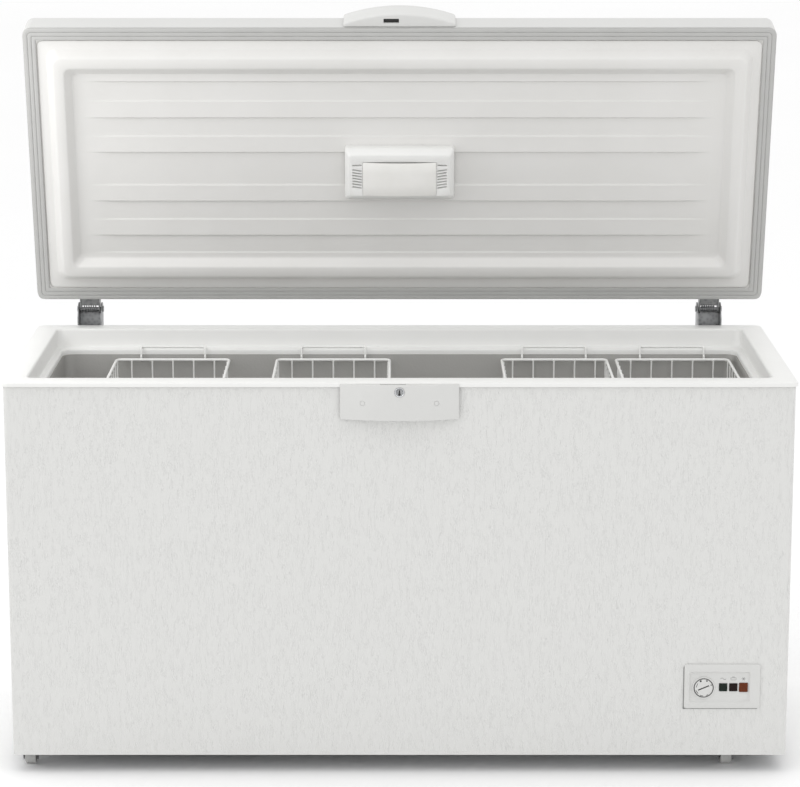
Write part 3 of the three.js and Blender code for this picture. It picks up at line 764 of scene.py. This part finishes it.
def lock_plate():
    x, y, z = spans("lock_housing")
    y = (y[0], FRONT - 0.3)
    piece = bowed_block("lock_plate", x, y, z, BOW)
    softened(piece, 3.2, 4)
    bore_x, bore_y, bore_z = spans("lock_cylinder")
    centre = (middle(bore_x), bore_y[0], middle(bore_z))
    tools = [
        disc_tool(centre, length(bore_z) / 2 + 0.5, 24),
        block(
            "tool",
            HOOK_SLOT_X,
            (FRONT - HOOK_SLOT_Y[0], FRONT - HOOK_SLOT_Y[1]),
            (z[1] - HOOK_SLOT_Z[0], z[1] + HOOK_SLOT_Z[1]),
        ),
    ]
    for side in (-1, 1):
        back = BOW - bow_rise(SCREW_OUT, length(x) / 2, BOW)
        place = (side * SCREW_OUT, y[0] + back, z[0] + SCREW_UP)
        turn = (math.pi / 2, 0, side * SCREW_LEAN)
        plug = disc_tool(place, SCREW_INNER, 4, turn)
        tools.append(carved(disc_tool(place, SCREW_OUTER, 1.8, turn), [plug]))
    carved(piece, tools)
    return dressed(piece, CABINET, "cabinet", FINISHES["painted_shade_white"], ["lock_housing"])


def lock_barrel():
    x, y, z = spans("lock_cylinder")
    centre = Vector((middle(x), middle(y), middle(z)))
    radius = length(z) / 2
    middle_back = centre + Vector((0, BARREL_LIP / 2, 0))
    long = length(y) - BARREL_LIP
    piece = drum("lock_barrel", middle_back, radius, long, TO_FRONT, 48)
    open_mesh(piece)
    pick(piece, faces=lambda c, n: n.y < -0.9)
    bpy.ops.mesh.inset(thickness=1.0)
    bpy.ops.transform.translate(value=(0, -BARREL_LIP, 0))
    bpy.ops.mesh.inset(thickness=1.5)
    bpy.ops.transform.translate(value=(0, 1.6, 0))
    bpy.ops.mesh.inset(thickness=0.8)
    bpy.ops.transform.translate(value=(0, -0.9, 0))
    put_down()
    softened(piece, 0.25, 2)
    seat = disc_tool((centre.x, y[0], centre.z), FACE_RADIUS + 0.2, 4.4)
    carved(piece, [seat])
    return dressed(piece, CABINET, "lock", FINISHES["chrome"], ["lock_cylinder"])


def key_slot_place(x, z):
    """The key slot's width and height spans in a cylinder of those spans."""
    across, up = middle(x), middle(z)
    return (across - KEY_HALF, across + KEY_HALF), (up - KEY_BELOW, up + KEY_ABOVE)


def key_face():
    """The plain disc round the key slot, set a little into the barrel."""
    x, y, z = spans("lock_cylinder")
    centre = (middle(x), y[0] + 1.6, middle(z))
    piece = drum("key_face", centre, FACE_RADIUS, 2.4, TO_FRONT)
    open_mesh(piece)
    pick(piece, faces=lambda c, n: n.y < -0.9)
    bpy.ops.mesh.inset(thickness=2.2)
    bpy.ops.transform.translate(value=(0, 0.9, 0))
    put_down()
    slot_x, slot_z = key_slot_place(x, z)
    slot = block("tool", slot_x, (y[0] - 3, y[0] + 2.4), slot_z)
    carved(piece, [slot])
    return dressed(piece, CABINET, "lock", FINISHES["zinc"], [])


def key_slot():
    """The key slot's bottom and wedge in black: painted shade for the depth of the keyway."""
    x, y, z = spans("lock_cylinder")
    slot_x, slot_z = key_slot_place(x, z)
    piece = block("key_slot", slot_x, (y[0] + 1.5, y[0] + 2.4), slot_z)
    centre = (middle(x), y[0] + 1.4, slot_z[0] + 2.2)
    wedge = drum("wedge", centre, WEDGE_RADIUS, WEDGE_DEPTH, TO_FRONT, 24)
    piece = joined("key_slot", [piece, wedge])
    softened(piece, 0.2, 1)
    return dressed(piece, CABINET, "lock", FINISHES["black"], [])


def lid_grip():
    x, y, z = spans("lid_handle", LID)
    piece = bowed_block("lid_grip", x, y, z, BOW)
    softened(piece, 4.5, 5)
    slot_y = (y[0] + CATCH_SLOT_Y[0], y[0] + CATCH_SLOT_Y[1])
    slot = block("tool", CATCH_SLOT_X, slot_y, (z[0] - 5, z[0] + 26))
    carved(piece, [softened(slot, 1.5, 2)])
    return dressed(piece, LID, "lid", FINISHES["painted_shade_white"], ["lid_handle"])


def painted_slot_shade():
    """Painted shade: a black block inside the slot of the grip, standing in for the shade in the
    slot.
    """
    _, y, z = spans("lid_handle", LID)
    slot_y = (y[0] + CATCH_SLOT_Y[0], y[0] + CATCH_SLOT_Y[1])
    shade_block_x, shade_block_y = shrunk(CATCH_SLOT_X, 0.4), shrunk(slot_y, 0.4)
    piece = block("painted_slot_shade", shade_block_x, shade_block_y, (z[0] + 3, z[0] + 25))
    softened(piece, 1.2, 2)
    return dressed(piece, LID, "lid", FINISHES["black"], [])


# ---- lid ----
def lid_cap():
    x, y, z = spans("lid_shell", LID)
    fillet, corner = 9, 18
    levels = [(x, y, z[0], corner)]
    for step in range(7):
        turn = step / 6 * math.pi / 2
        inset = fillet * (1 - math.cos(turn))
        height = z[1] - fillet + fillet * math.sin(turn)
        levels.append((shrunk(x, inset), shrunk(y, inset), height, corner - inset))
    piece = loft("lid_cap", levels, steps=8, bottom=False)
    modified(piece, "SOLIDIFY", thickness=SHEET_STEEL, offset=-1.0)
    return dressed(piece, LID, "lid", FINISHES["paint"], ["lid_shell"])


def lid_filling():
    x, y, z = spans("lid_shell", LID)
    low, high = z[0] + 2.6, z[1] - 2
    levels = [
        (shrunk(x, inset), shrunk(y, inset), height, radius)
        for inset, height, radius in (
            (3.6, low, 15),
            (3.6, high - 9, 15),
            (6.4, high - 2.8, 12.5),
            (12, high, 9),
        )
    ]
    piece = loft("lid_filling", levels, steps=6)
    return dressed(piece, LID, "lid", FINISHES["foam"], ["lid_foam"])


LINING_PROFILE = (
    # inset from the lid's outline, depth below the lid's edge, corner radius
    (1.3, -4, 16),
    (1.3, 0, 16),
    (26.4, 0, 14),
    (26.7, -2.4, 14),
    (28.6, -2.4, 14),
    (29.2, 0, 14),
    (45.5, 0, 24),
    (47.4, 0.8, 22),
    (49.4, 3, 21),
    (58.2, 16.4, 18),
    (60.4, 18.9, 17),
    (63.6, 20, 16),
    (81.4, 20, 15),
    (83.6, 19.2, 14),
    (85.6, 17.2, 13),
    (96.4, 6.4, 12),
    (98, 4.8, 12),
    (101, 4, 12),
)
SUNK_BANDS = (
    # front and rear edges of each sunk band of the panel, from the hinge line
    (529.3, 483.9),
    (449.8, 406.4),
    (373.2, 297.2),
    (263.6, 219.5),
    (185.7, 143.5),
)
BAND_STEP = 2.8
BAND_TIGHT = 0.7
BAND_LIFT = 1.6
BAND_LIFT_REACH = 17
BAND_DEPTH = 3.4
BAND_END = 652
BAND_FADE = 55


def lid_lining():
    x, y, z = spans("lid_shell", LID)
    levels = [
        (shrunk(x, inset), shrunk(y, inset), z[0] - depth, radius)
        for inset, depth, radius in LINING_PROFILE
    ]
    floor = levels[-1][2]
    piece = loft("lid_lining", levels, steps=8, bottom=False)
    places = []
    for near_edge, far_edge in SUNK_BANDS:
        start, end = -near_edge, -far_edge
        places += [start - BAND_LIFT_REACH, start - BAND_TIGHT, start, start + BAND_STEP]
        places += [start + BAND_STEP + BAND_TIGHT, end - BAND_STEP - BAND_TIGHT]
        places += [end - BAND_STEP, end, end + BAND_TIGHT]
    ends = [BAND_END, BAND_END - BAND_FADE * 0.3, BAND_END - BAND_FADE * 0.7, BAND_END - BAND_FADE]

    def sink(p):
        if not near(p.z, floor) or abs(p.x) > BAND_END:
            return 0, 0, 0
        share = min(1, (BAND_END - abs(p.x)) / BAND_FADE)
        share = share * share * (3 - 2 * share)
        for near_edge, far_edge in SUNK_BANDS:
            start, end = -near_edge, -far_edge
            if start - BAND_TIGHT - 0.1 <= p.y <= start + 0.1:
                return 0, 0, -BAND_LIFT * share
            if start + BAND_STEP - 0.1 <= p.y <= end - BAND_STEP + 0.1:
                along = (p.y - start) / (end - start)
                return 0, 0, BAND_DEPTH * (1 - 0.3 * along) * share
        return 0, 0, 0

    slice_across(1, places)
    slice_across(0, ends + [-end for end in ends])
    shift_points(piece, sink)
    bpy.ops.mesh.select_all(action="SELECT")
    bpy.ops.mesh.normals_make_consistent(inside=False)
    put_down()
    modified(piece, "SOLIDIFY", thickness=1.6, offset=-1.0)
    return dressed(
        piece, LID, "lid", FINISHES["lining"], ["lid_liner"], smooth=50
    )


SEAL_PROFILE = (
    # inset, height above the seal's low face
    (1.4, 3.4),
    (1.6, 0.7),
    (2.6, 0),
    (8.4, 0),
    (9.4, 0.4),
    (10.1, 1.6),
    (10.8, 0.4),
    (11.8, 0),
    (16.8, 0),
    (17.8, 0.4),
    (18.5, 1.6),
    (19.2, 0.4),
    (20.2, 0),
    (25.4, 0),
    (26.6, 0.7),
    (27, 3.4),
)


def lid_seal():
    x, y, z = spans("lid_gasket", LID)
    x, y = shrunk(x, -1), shrunk(y, -1)
    levels = [
        (shrunk(x, inset), shrunk(y, inset), z[0] + height, max(2, 13 - inset / 2))
        for inset, height in SEAL_PROFILE
    ]
    piece = loft("lid_seal", levels, steps=4, ring=True)
    return dressed(piece, LID, "lid", FINISHES["seal"], ["lid_gasket"])


LAMP_SILL = 6
LOUVRE = (20, 3.2, 16)
LOUVRE_OUT, LOUVRE_PITCH, LOUVRE_LEAN = 89, 6.3, 0.16
LOUVRE_ROWS = (-1.8, 0, 1, 2, 3, 4, 5, 6)


def lamp_housing():
    x, y, z = spans("lamp_base", LID)
    levels = [
        (x, y, z[1], 7),
        (shrunk(x, 0.6), shrunk(y, 0.6), z[0] + 15, 7),
        (shrunk(x, 1.8), shrunk(y, 1.8), z[0] + 12, 7),
        (shrunk(x, 8.5), shrunk(y, 10.5), z[0] + 1.6, 6),
        (shrunk(x, 9.6), shrunk(y, 11.8), z[0] + 0.5, 6),
        (shrunk(x, 11.5), shrunk(y, 13.5), z[0], 6),
    ]
    piece = loft("lamp_housing", levels, steps=4)
    window_x, window_y, _ = spans("lamp_cover", LID)
    window_y = (window_y[0], window_y[1] - LAMP_SILL)
    tools = [block("tool", shrunk(window_x, -0.6), shrunk(window_y, -0.6), (z[0] - 9, z[0] + 8))]
    for side in (-1, 1):
        for row in LOUVRE_ROWS:
            place = (side * LOUVRE_OUT, middle(y) - 12 + row * LOUVRE_PITCH, z[0] + 2)
            turn = -side * LOUVRE_LEAN if row >= 0 else side * LOUVRE_LEAN / 4
            tools.append(turned_bar(place, LOUVRE, turn))
    carved(piece, tools)
    softened(piece, 0.4, 2)
    return dressed(piece, LID, "lid", FINISHES["white"], ["lamp_base"])


def lamp_window():
    x, y, _ = spans("lamp_cover", LID)
    y = (y[0], y[1] - LAMP_SILL)
    low = spans("lamp_base", LID)[2][0]
    half, rise = length(x) / 2, 5.5
    piece = sheet_of("lamp_window", x, y, low - 0.5, columns=30, rows=3)
    open_mesh(piece)
    shift_points(piece, lambda p: (0, 0, -bow_rise(p.x, half, rise)))
    bpy.ops.mesh.select_all(action="SELECT")
    bpy.ops.mesh.normals_make_consistent(inside=False)
    put_down()
    modified(piece, "SOLIDIFY", thickness=2.0, offset=0)
    softened(piece, 0.6, 2, angle=50)
    return dressed(piece, LID, "lid", FINISHES["cover"], ["lamp_cover"])


# ---- control panel ----
DISH_LEFT, DISH_RIGHT, DISH_LOW, DISH_HIGH = 9.5, 20.5, 12.5, 15
PANEL_FRONT, PANEL_FLOOR = 1.0, -3.0
DIAL_GAP, DIAL_RIM = 0.5, 2.9
# width and depths of the painted shadow strip along the panel's left and lower edges
SHADOW_STRIP_WIDTH = 1.9
SHADOW_STRIP_LEVELS = (-4.9, -3.9)
MARK_HEIGHT = 195.4
SMALL_PARTS = ("power_lamp_lens", "alarm_lamp_lens", "fast_freeze_button")


def control_surround():
    """The panel with its sunk dish, the rim round the dial and the holes."""
    x, y, _ = spans("control_bezel", FACE)
    dish_x = (x[0] + DISH_LEFT, x[1] - DISH_RIGHT)
    dish_y = (y[0] + DISH_LOW, y[1] - DISH_HIGH)
    levels = [
        (x, y, -4.7, 5),
        (x, y, -2.6, 5),
        (shrunk(x, 0.8), shrunk(y, 0.8), -1.6, 4.6),
        (shrunk(dish_x, -1.6), shrunk(dish_y, -1.6), PANEL_FRONT, 4),
        (dish_x, dish_y, PANEL_FRONT - 0.4, 3.4),
        (shrunk(dish_x, 2.2), shrunk(dish_y, 2.2), PANEL_FLOOR + 0.5, 2.6),
        (shrunk(dish_x, 3), shrunk(dish_y, 3), PANEL_FLOOR, 2.4),
    ]
    piece = loft("control_surround", levels, steps=5)
    dial_x, dial_y, _ = spans("thermostat_dial", FACE)
    radius = length(dial_y) / 2
    centre = (middle(dial_x), middle(dial_y), PANEL_FLOOR)
    rim = drum("rim", centre, radius + DIAL_RIM, 3.6, sides=64)
    carved(rim, [drum("tool", centre, radius + DIAL_GAP, 9, sides=64)])
    tools = [drum("tool", centre, radius + DIAL_GAP, 30, sides=64)]
    for node in SMALL_PARTS:
        hole_x, hole_y, _ = spans(node, FACE)
        tools.append(block("tool", shrunk(hole_x, -0.3), shrunk(hole_y, -0.3), (-30, 10)))
    carved(piece, tools)
    piece = joined("control_surround", [piece, rim])
    softened(piece, 0.35, 2)
    return dressed(piece, FACE, "cabinet", FINISHES["painted_shade_white"], ["control_bezel"])


def painted_panel_shadow():
    """Painted shadow: a grey ink strip along the left and lower edges of the panel, standing in for
    the shade in the gap round it.
    """
    x, y, _ = spans("control_bezel", FACE)
    left = block("shadow_strip", (x[0] - SHADOW_STRIP_WIDTH, x[0]), (y[0] - SHADOW_STRIP_WIDTH, y[1] - 6), SHADOW_STRIP_LEVELS)
    low = block("shadow_strip", (x[0] - SHADOW_STRIP_WIDTH, x[1] - 5), (y[0] - SHADOW_STRIP_WIDTH, y[0]), SHADOW_STRIP_LEVELS)
    piece = joined("painted_panel_shadow", [left, low])
    softened(piece, 0.3, 1)
    return dressed(piece, FACE, "cabinet", FINISHES["ink_and_painted_shadow"], [])


DIAL_TURN = math.radians(23)
DIAL_DEPTH = 11.2
DIAL_SLOT, DIAL_POINTER = (23.6, 2.6, 3), (23, 2.4, 0.5)
DIAL_RING_OUTER, DIAL_RING_INNER = 19.4, 18.0
INK_DEPTH = 0.16
# angle in degrees, distance from the centre, and radius or length
DIAL_DOTS = ((113.6, 15.4, 2.0), (67, 15.8, 1.7), (22, 16.0, 1.3))
DIAL_DASHES = ((158, 14.4, 8.6), (212, 15.6, 8.2), (256, 16.4, 7), (297, 16.4, 5))


def dial_knob():
    x, y, z = spans("thermostat_dial", FACE)
    centre = (middle(x), middle(y), z[1] - DIAL_DEPTH / 2)
    piece = drum("dial_knob", centre, length(y) / 2, DIAL_DEPTH, sides=64)
    softened(piece, 0.8, 3)
    slot = turned_bar((centre[0], centre[1], z[1] - 0.5), DIAL_SLOT, DIAL_TURN)
    carved(piece, [slot])
    softened(piece, 0.15, 1)
    node = "thermostat_dial"
    return dressed(piece, FACE, node, FINISHES["painted_shade_white"], [node])


def dial_marks():
    x, y, z = spans("thermostat_dial", FACE)
    cx, cy, level = middle(x), middle(y), z[1]
    ring = drum("ring", (cx, cy, level), DIAL_RING_OUTER, INK_DEPTH, sides=72)
    marks = [carved(ring, [drum("tool", (cx, cy, level), DIAL_RING_INNER, 2, sides=72)])]

    def around(angle, radius):
        turn = math.radians(angle)
        return cx + radius * math.cos(turn), cy + radius * math.sin(turn), level

    for angle, radius, size in DIAL_DOTS:
        marks.append(drum("dot", around(angle, radius), size, INK_DEPTH, sides=20))
    for angle, radius, long in DIAL_DASHES:
        dash = (1.1, long, INK_DEPTH)
        marks.append(turned_bar(around(angle, radius), dash, math.radians(angle)))
    marks.append(turned_bar((cx, cy, level - 1.6), DIAL_POINTER, DIAL_TURN))
    piece = joined("dial_marks", marks)
    return dressed(piece, FACE, "thermostat_dial", FINISHES["ink"], [])


def panel_marks():
    """A wave, a box and a snowflake over the two lamps and the button."""
    level = PANEL_FLOOR
    wave_at, box_at, flake_at = [middle(spans(node, FACE)[0]) for node in SMALL_PARTS]
    wave = [
        (wave_at - 5.6 + n / 16 * 11.2, MARK_HEIGHT + 1.7 * math.sin(n / 8 * math.pi), level)
        for n in range(17)
    ]
    left, right = box_at - 5.2, box_at + 5.2
    low, high = MARK_HEIGHT - 2.4, MARK_HEIGHT + 2
    box = [(left, low, level), (right, low, level), (right, high, level), (left, high, level)]
    box_lid = [(left + 2.4, high + 1.8, level), (right - 2.4, high + 1.8, level)]
    runs = [(wave, False), (box, True), (box_lid, False)]
    hub = Vector((flake_at, MARK_HEIGHT, level))
    for n in range(3):
        turn = n * math.pi / 3
        arm = Vector((math.cos(turn), math.sin(turn), 0)) * 3.8
        runs.append(([tuple(hub - arm), tuple(hub + arm)], False))
    piece = wire("panel_marks", runs, 0.9, sides=6)
    return dressed(piece, FACE, "cabinet", FINISHES["ink_and_painted_shadow"], [])


def lens(name, node, body, finish, slot):
    x, y, z = spans(node, FACE)
    piece = block(name, x, y, (z[0], z[1] - 0.5))
    open_mesh(piece)
    pick(piece, edges=lambda a, b: abs(a.z - b.z) > 1)
    bpy.ops.mesh.bevel(affect="EDGES", offset=2.2, segments=5)
    pick(piece, faces=lambda c, n: n.z > 0.9)
    bpy.ops.mesh.inset(thickness=0.9)
    bpy.ops.transform.translate(value=(0, 0, 0.4))
    put_down()
    return dressed(piece, FACE, body, finish, [node], smooth=22)


# ---- baskets ----
RIM_WIRE = 6.0
WALL_WIRE = 3.4
BAND_WIRE = 4.0
WIRE_PITCH = 44
WIRE_BEND = 12
BAIL_WIRE, BAIL_HALF, BAIL_SLANT, BAIL_EYE = 4.2, 2.2, 2.5, 2.6


def wire_basket(number):
    node = f"basket_{number}"
    x, y, z = spans(node)
    top = z[1] - RIM_WIRE / 2
    low = z[0] + WALL_WIRE / 2
    rim_x, rim_y = shrunk(x, RIM_WIRE / 2), shrunk(y, RIM_WIRE / 2)
    wall_x, wall_y = shrunk(rim_x, 3), shrunk(rim_y, 3)

    def loop(sx, sy, height, radius):
        """One closed wire round the basket."""
        corners = [(sx[0], sy[0], height), (sx[1], sy[0], height)]
        corners += [(sx[1], sy[1], height), (sx[0], sy[1], height)]
        return rounded(corners, radius, closed=True, steps=6), True

    thin = []
    for n in range(-2, 3):
        at = middle(x) + n * WIRE_PITCH
        front, rear = wall_y
        ends = [(at, front, top), (at, front, low), (at, rear, low), (at, rear, top)]
        thin.append((rounded(ends, WIRE_BEND), False))
    left, right = shrunk(wall_x, 0.5)
    foot = low + WALL_WIRE
    for n in range(10):
        at = middle(y) + (n - 4.5) * WIRE_PITCH
        ends = [(left, at, top), (left, at, foot), (right, at, foot), (right, at, top)]
        thin.append((rounded(ends, WIRE_BEND), False))
    inner_x, inner_y = shrunk(wall_x, WALL_WIRE), shrunk(wall_y, WALL_WIRE)
    bands = [
        loop(inner_x, inner_y, low + share * (top - low), WIRE_BEND) for share in (0.34, 0.67)
    ]
    parts = [
        wire("rim", [loop(rim_x, rim_y, top, 11)], RIM_WIRE, sides=12),
        wire("walls", thin, WALL_WIRE, sides=8),
        wire("bands", bands, BAND_WIRE, sides=8),
    ]
    piece = joined(f"wire_basket_{number}", parts)
    return dressed(piece, CABINET, node, FINISHES["wire"], [node], smooth=60)


def wire_bail(number, end):
    node = f"basket_{number}_{end}_bail"
    x, y, z = spans(node)
    swing = joint(f"basket_{number}_{end}_bail_swing")["pos_m"]
    pivot_y, pivot_z = swing[1] / MM, swing[2] / MM
    way = 1 if end == "rear" else -1
    half = length(x) / 2 - BAIL_HALF
    top = z[1] - BAIL_HALF
    bend_y = pivot_y + BAIL_SLANT * way
    grip_y = pivot_y + (length(y) - 2 * BAIL_HALF) * way
    at = middle(x)
    corners = [
        (at - half, pivot_y, pivot_z),
        (at - half, bend_y, top),
        (at - half, grip_y, top),
        (at + half, grip_y, top),
        (at + half, bend_y, top),
        (at + half, pivot_y, pivot_z),
    ]
    runs = [(rounded(corners, 5), False)]
    for side in (-1, 1):
        eye = [
            (
                at + side * half,
                pivot_y + BAIL_EYE * math.cos(n * math.pi / 6),
                pivot_z + BAIL_EYE * math.sin(n * math.pi / 6),
            )
            for n in range(12)
        ]
        runs.append((eye, True))
    piece = wire(f"wire_{end}_bail_{number}", runs, BAIL_WIRE, sides=10)
    return dressed(piece, CABINET, node, FINISHES["wire"], [node], smooth=60)


# ---- hinges ----
COIL_WIRE, COIL_RADIUS, COIL_END = 2.4, 6.9, 1.6
COIL_TURNS, COIL_STEPS = 6, 120
WEB_SIDE, WEB_REACH, WEB_REAR, WEB_HEIGHTS = 1.2, 14, -11.5, (3, 4.6)


def hinge_coil(side):
    """The wound wire of a hinge spring."""
    node = f"hinge_spring_{side}"
    x, y, z = spans(node)
    at, up = middle(y), middle(z)
    x = shrunk(x, COIL_END)
    coil = []
    for n in range(COIL_STEPS + 1):
        share = n / COIL_STEPS
        turn = share * COIL_TURNS * 2 * math.pi
        across, high = COIL_RADIUS * math.cos(turn), COIL_RADIUS * math.sin(turn)
        coil.append((x[0] + length(x) * share, at + across, up + high))
    piece = wire(f"hinge_coil_{side}", [(coil, False)], COIL_WIRE, sides=8)
    return dressed(piece, CABINET, "cabinet", FINISHES["zinc"], [node], smooth=60)


def hinge_web(side):
    """The folded plate between the arms of a hinge leaf."""
    x, _, z = spans(f"hinge_leaf_{side}", LID)
    rear = spans("lid_shell", LID)[1][1]
    low, high = WEB_HEIGHTS
    y = (rear - WEB_REACH, WEB_REAR)
    piece = block(f"hinge_web_{side}", shrunk(x, WEB_SIDE), y, (z[0] + low, z[0] + high))
    softened(piece, 0.4, 2)
    return dressed(piece, LID, "lid", FINISHES["zinc"], [])


# ---- camera, light and floor ----
SENSOR = 36
FOCAL_SHARE = 2860 / 800
CAMERA_BACK, CAMERA_UP, CAMERA_DOWN = 5442, 1921, math.atan(602 / 2860)
SOFTBOXES = (
    # name, place, target, width and height in metres, watts
    ("top", (0, -0.6, 4.2), (0, 0, 0.6), (5, 4), 22),
    ("key", (-3.2, -2.4, 2.6), (0.1, 0.1, 1.1), (1.2, 1.2), 6),
    ("side", (-1.35, -0.26, 1.5), (-0.3, 0.35, 1.25), (0.4, 0.5), 3.0),
)


def camera():
    lens = bpy.data.cameras.new("camera")
    lens.sensor_width = SENSOR
    lens.lens = SENSOR * FOCAL_SHARE
    lens.clip_end = 200
    seat = bpy.data.objects.new("camera", lens)
    seat.location = (0.001, (FRONT - CAMERA_BACK) * MM, CAMERA_UP * MM)
    seat.rotation_euler = (math.pi / 2 - CAMERA_DOWN, 0, 0)
    bpy.context.scene.collection.objects.link(seat)
    bpy.context.scene.camera = seat


def softbox(name, place, target, size, power):
    lamp = bpy.data.lights.new(name, "AREA")
    lamp.shape = "RECTANGLE"
    lamp.size, lamp.size_y = size
    lamp.energy = power
    stand = bpy.data.objects.new(name, lamp)
    stand.location = place
    aim = Vector(target) - Vector(place)
    stand.rotation_euler = aim.to_track_quat("-Z", "Y").to_euler()
    stand.visible_camera = False
    bpy.context.scene.collection.objects.link(stand)


def studio():
    scene = bpy.context.scene
    scene.view_settings.view_transform = "Standard"
    scene.world = bpy.data.worlds.new("studio")
    scene.world.use_nodes = True
    sky = scene.world.node_tree.nodes["Background"]
    sky.inputs["Color"].default_value = (1, 1, 1, 1)
    sky.inputs["Strength"].default_value = 1.0
    for row in SOFTBOXES:
        softbox(*row)
    floor = sheet_of("floor", (-60000, 60000), (-40000, 80000), 0)
    floor.data.transform(Matrix.Scale(MM, 4))
    f = Finish("floor", Specular_IOR_Level=0.1)
    f.sets("Base Color", f.mixed(f.noise(0.4), tint("fcfcfc"), tint("ffffff")))
    f.sets("Roughness", 0.9)
    floor.data.materials.append(f.material)


# ---- making it ----
def carried_over():
    """Hidden nodes that keep their own shape and take a finish."""
    kept = {
        "foam": ("insulation_foam",),
        "copper": ("evaporator_coil", "discharge_pipe", "filter_drier"),
        "grey": ("drain_tube",),
        "black": ("thermostat_body",),
    }
    for finish, nodes in kept.items():
        for node in nodes:
            slots = frame["nodes"][node].data.materials
            slots.clear()
            slots.append(FINISHES[finish])


def cleaned_up():
    """Nodes whose own shape is right, as clean meshes with softened edges."""
    rows = [
        ("inner_liner", "cabinet", "tub", "liner_aluminium", 0.3),
        ("back_panel", "cabinet", "paint", "painted_steel", 0.2),
        ("bottom_panel", "cabinet", "zinc", "zinc_steel", 0.2),
        ("compressor_tray", "cabinet", "zinc", "zinc_steel", 0.4),
        ("vent_grille", "cabinet", "black", "black_plastic", 0.4),
        ("cord_gland", "cabinet", "black", "black_plastic", 0.5),
        ("compressor", "cabinet", "enamel", "black_enamel", 0),
        ("drain_plug", "drain_plug", "grey", "grey_plastic", 0.6),
        ("lock_hook", "lock", "zinc", "zinc_steel", 0.3),
        ("lamp_bulb", "lid", "cover", "lamp_glass", 0),
    ]
    for side in ("left", "right"):
        rows.append((f"hinge_bracket_{side}", "cabinet", "zinc", "zinc_steel", 0.6))
        rows.append((f"hinge_pin_{side}", "cabinet", "zinc", "zinc_steel", 0.4))
        rows.append((f"hinge_leaf_{side}", "lid", "zinc", "zinc_steel", 0.6))
        for end in ("front", "rear"):
            rows.append((f"castor_bracket_{end}_{side}", "cabinet", "zinc", "zinc_steel", 0.4))
            roller = f"castor_roller_{end}_{side}"
            rows.append((roller, roller, "grey", "grey_plastic", 0.7))
    for node, body, finish, slot, width in rows:
        refined(node, body, FINISHES[finish], width)


camera()
studio()
carried_over()
cleaned_up()
rim_collar()
steel_wrap()
lock_plate()
lock_barrel()
key_face()
key_slot()
lid_cap()
lid_filling()
lid_lining()
lid_seal()
lid_grip()
painted_slot_shade()
lamp_housing()
lamp_window()
control_surround()
painted_panel_shadow()
dial_knob()
dial_marks()
panel_marks()
lens("green_lens", "power_lamp_lens", "cabinet", FINISHES["green"], "green_lens")
lens("red_lens", "alarm_lamp_lens", "cabinet", FINISHES["red"], "red_lens")
lens("orange_button", "fast_freeze_button", "fast_freeze_button", FINISHES["orange"], "orange_button")
for number in range(1, 5):
    wire_basket(number)
    wire_bail(number, "rear")
    wire_bail(number, "front")
hinge_coil("left")
hinge_coil("right")
hinge_web("left")
hinge_web("right")

put_down()
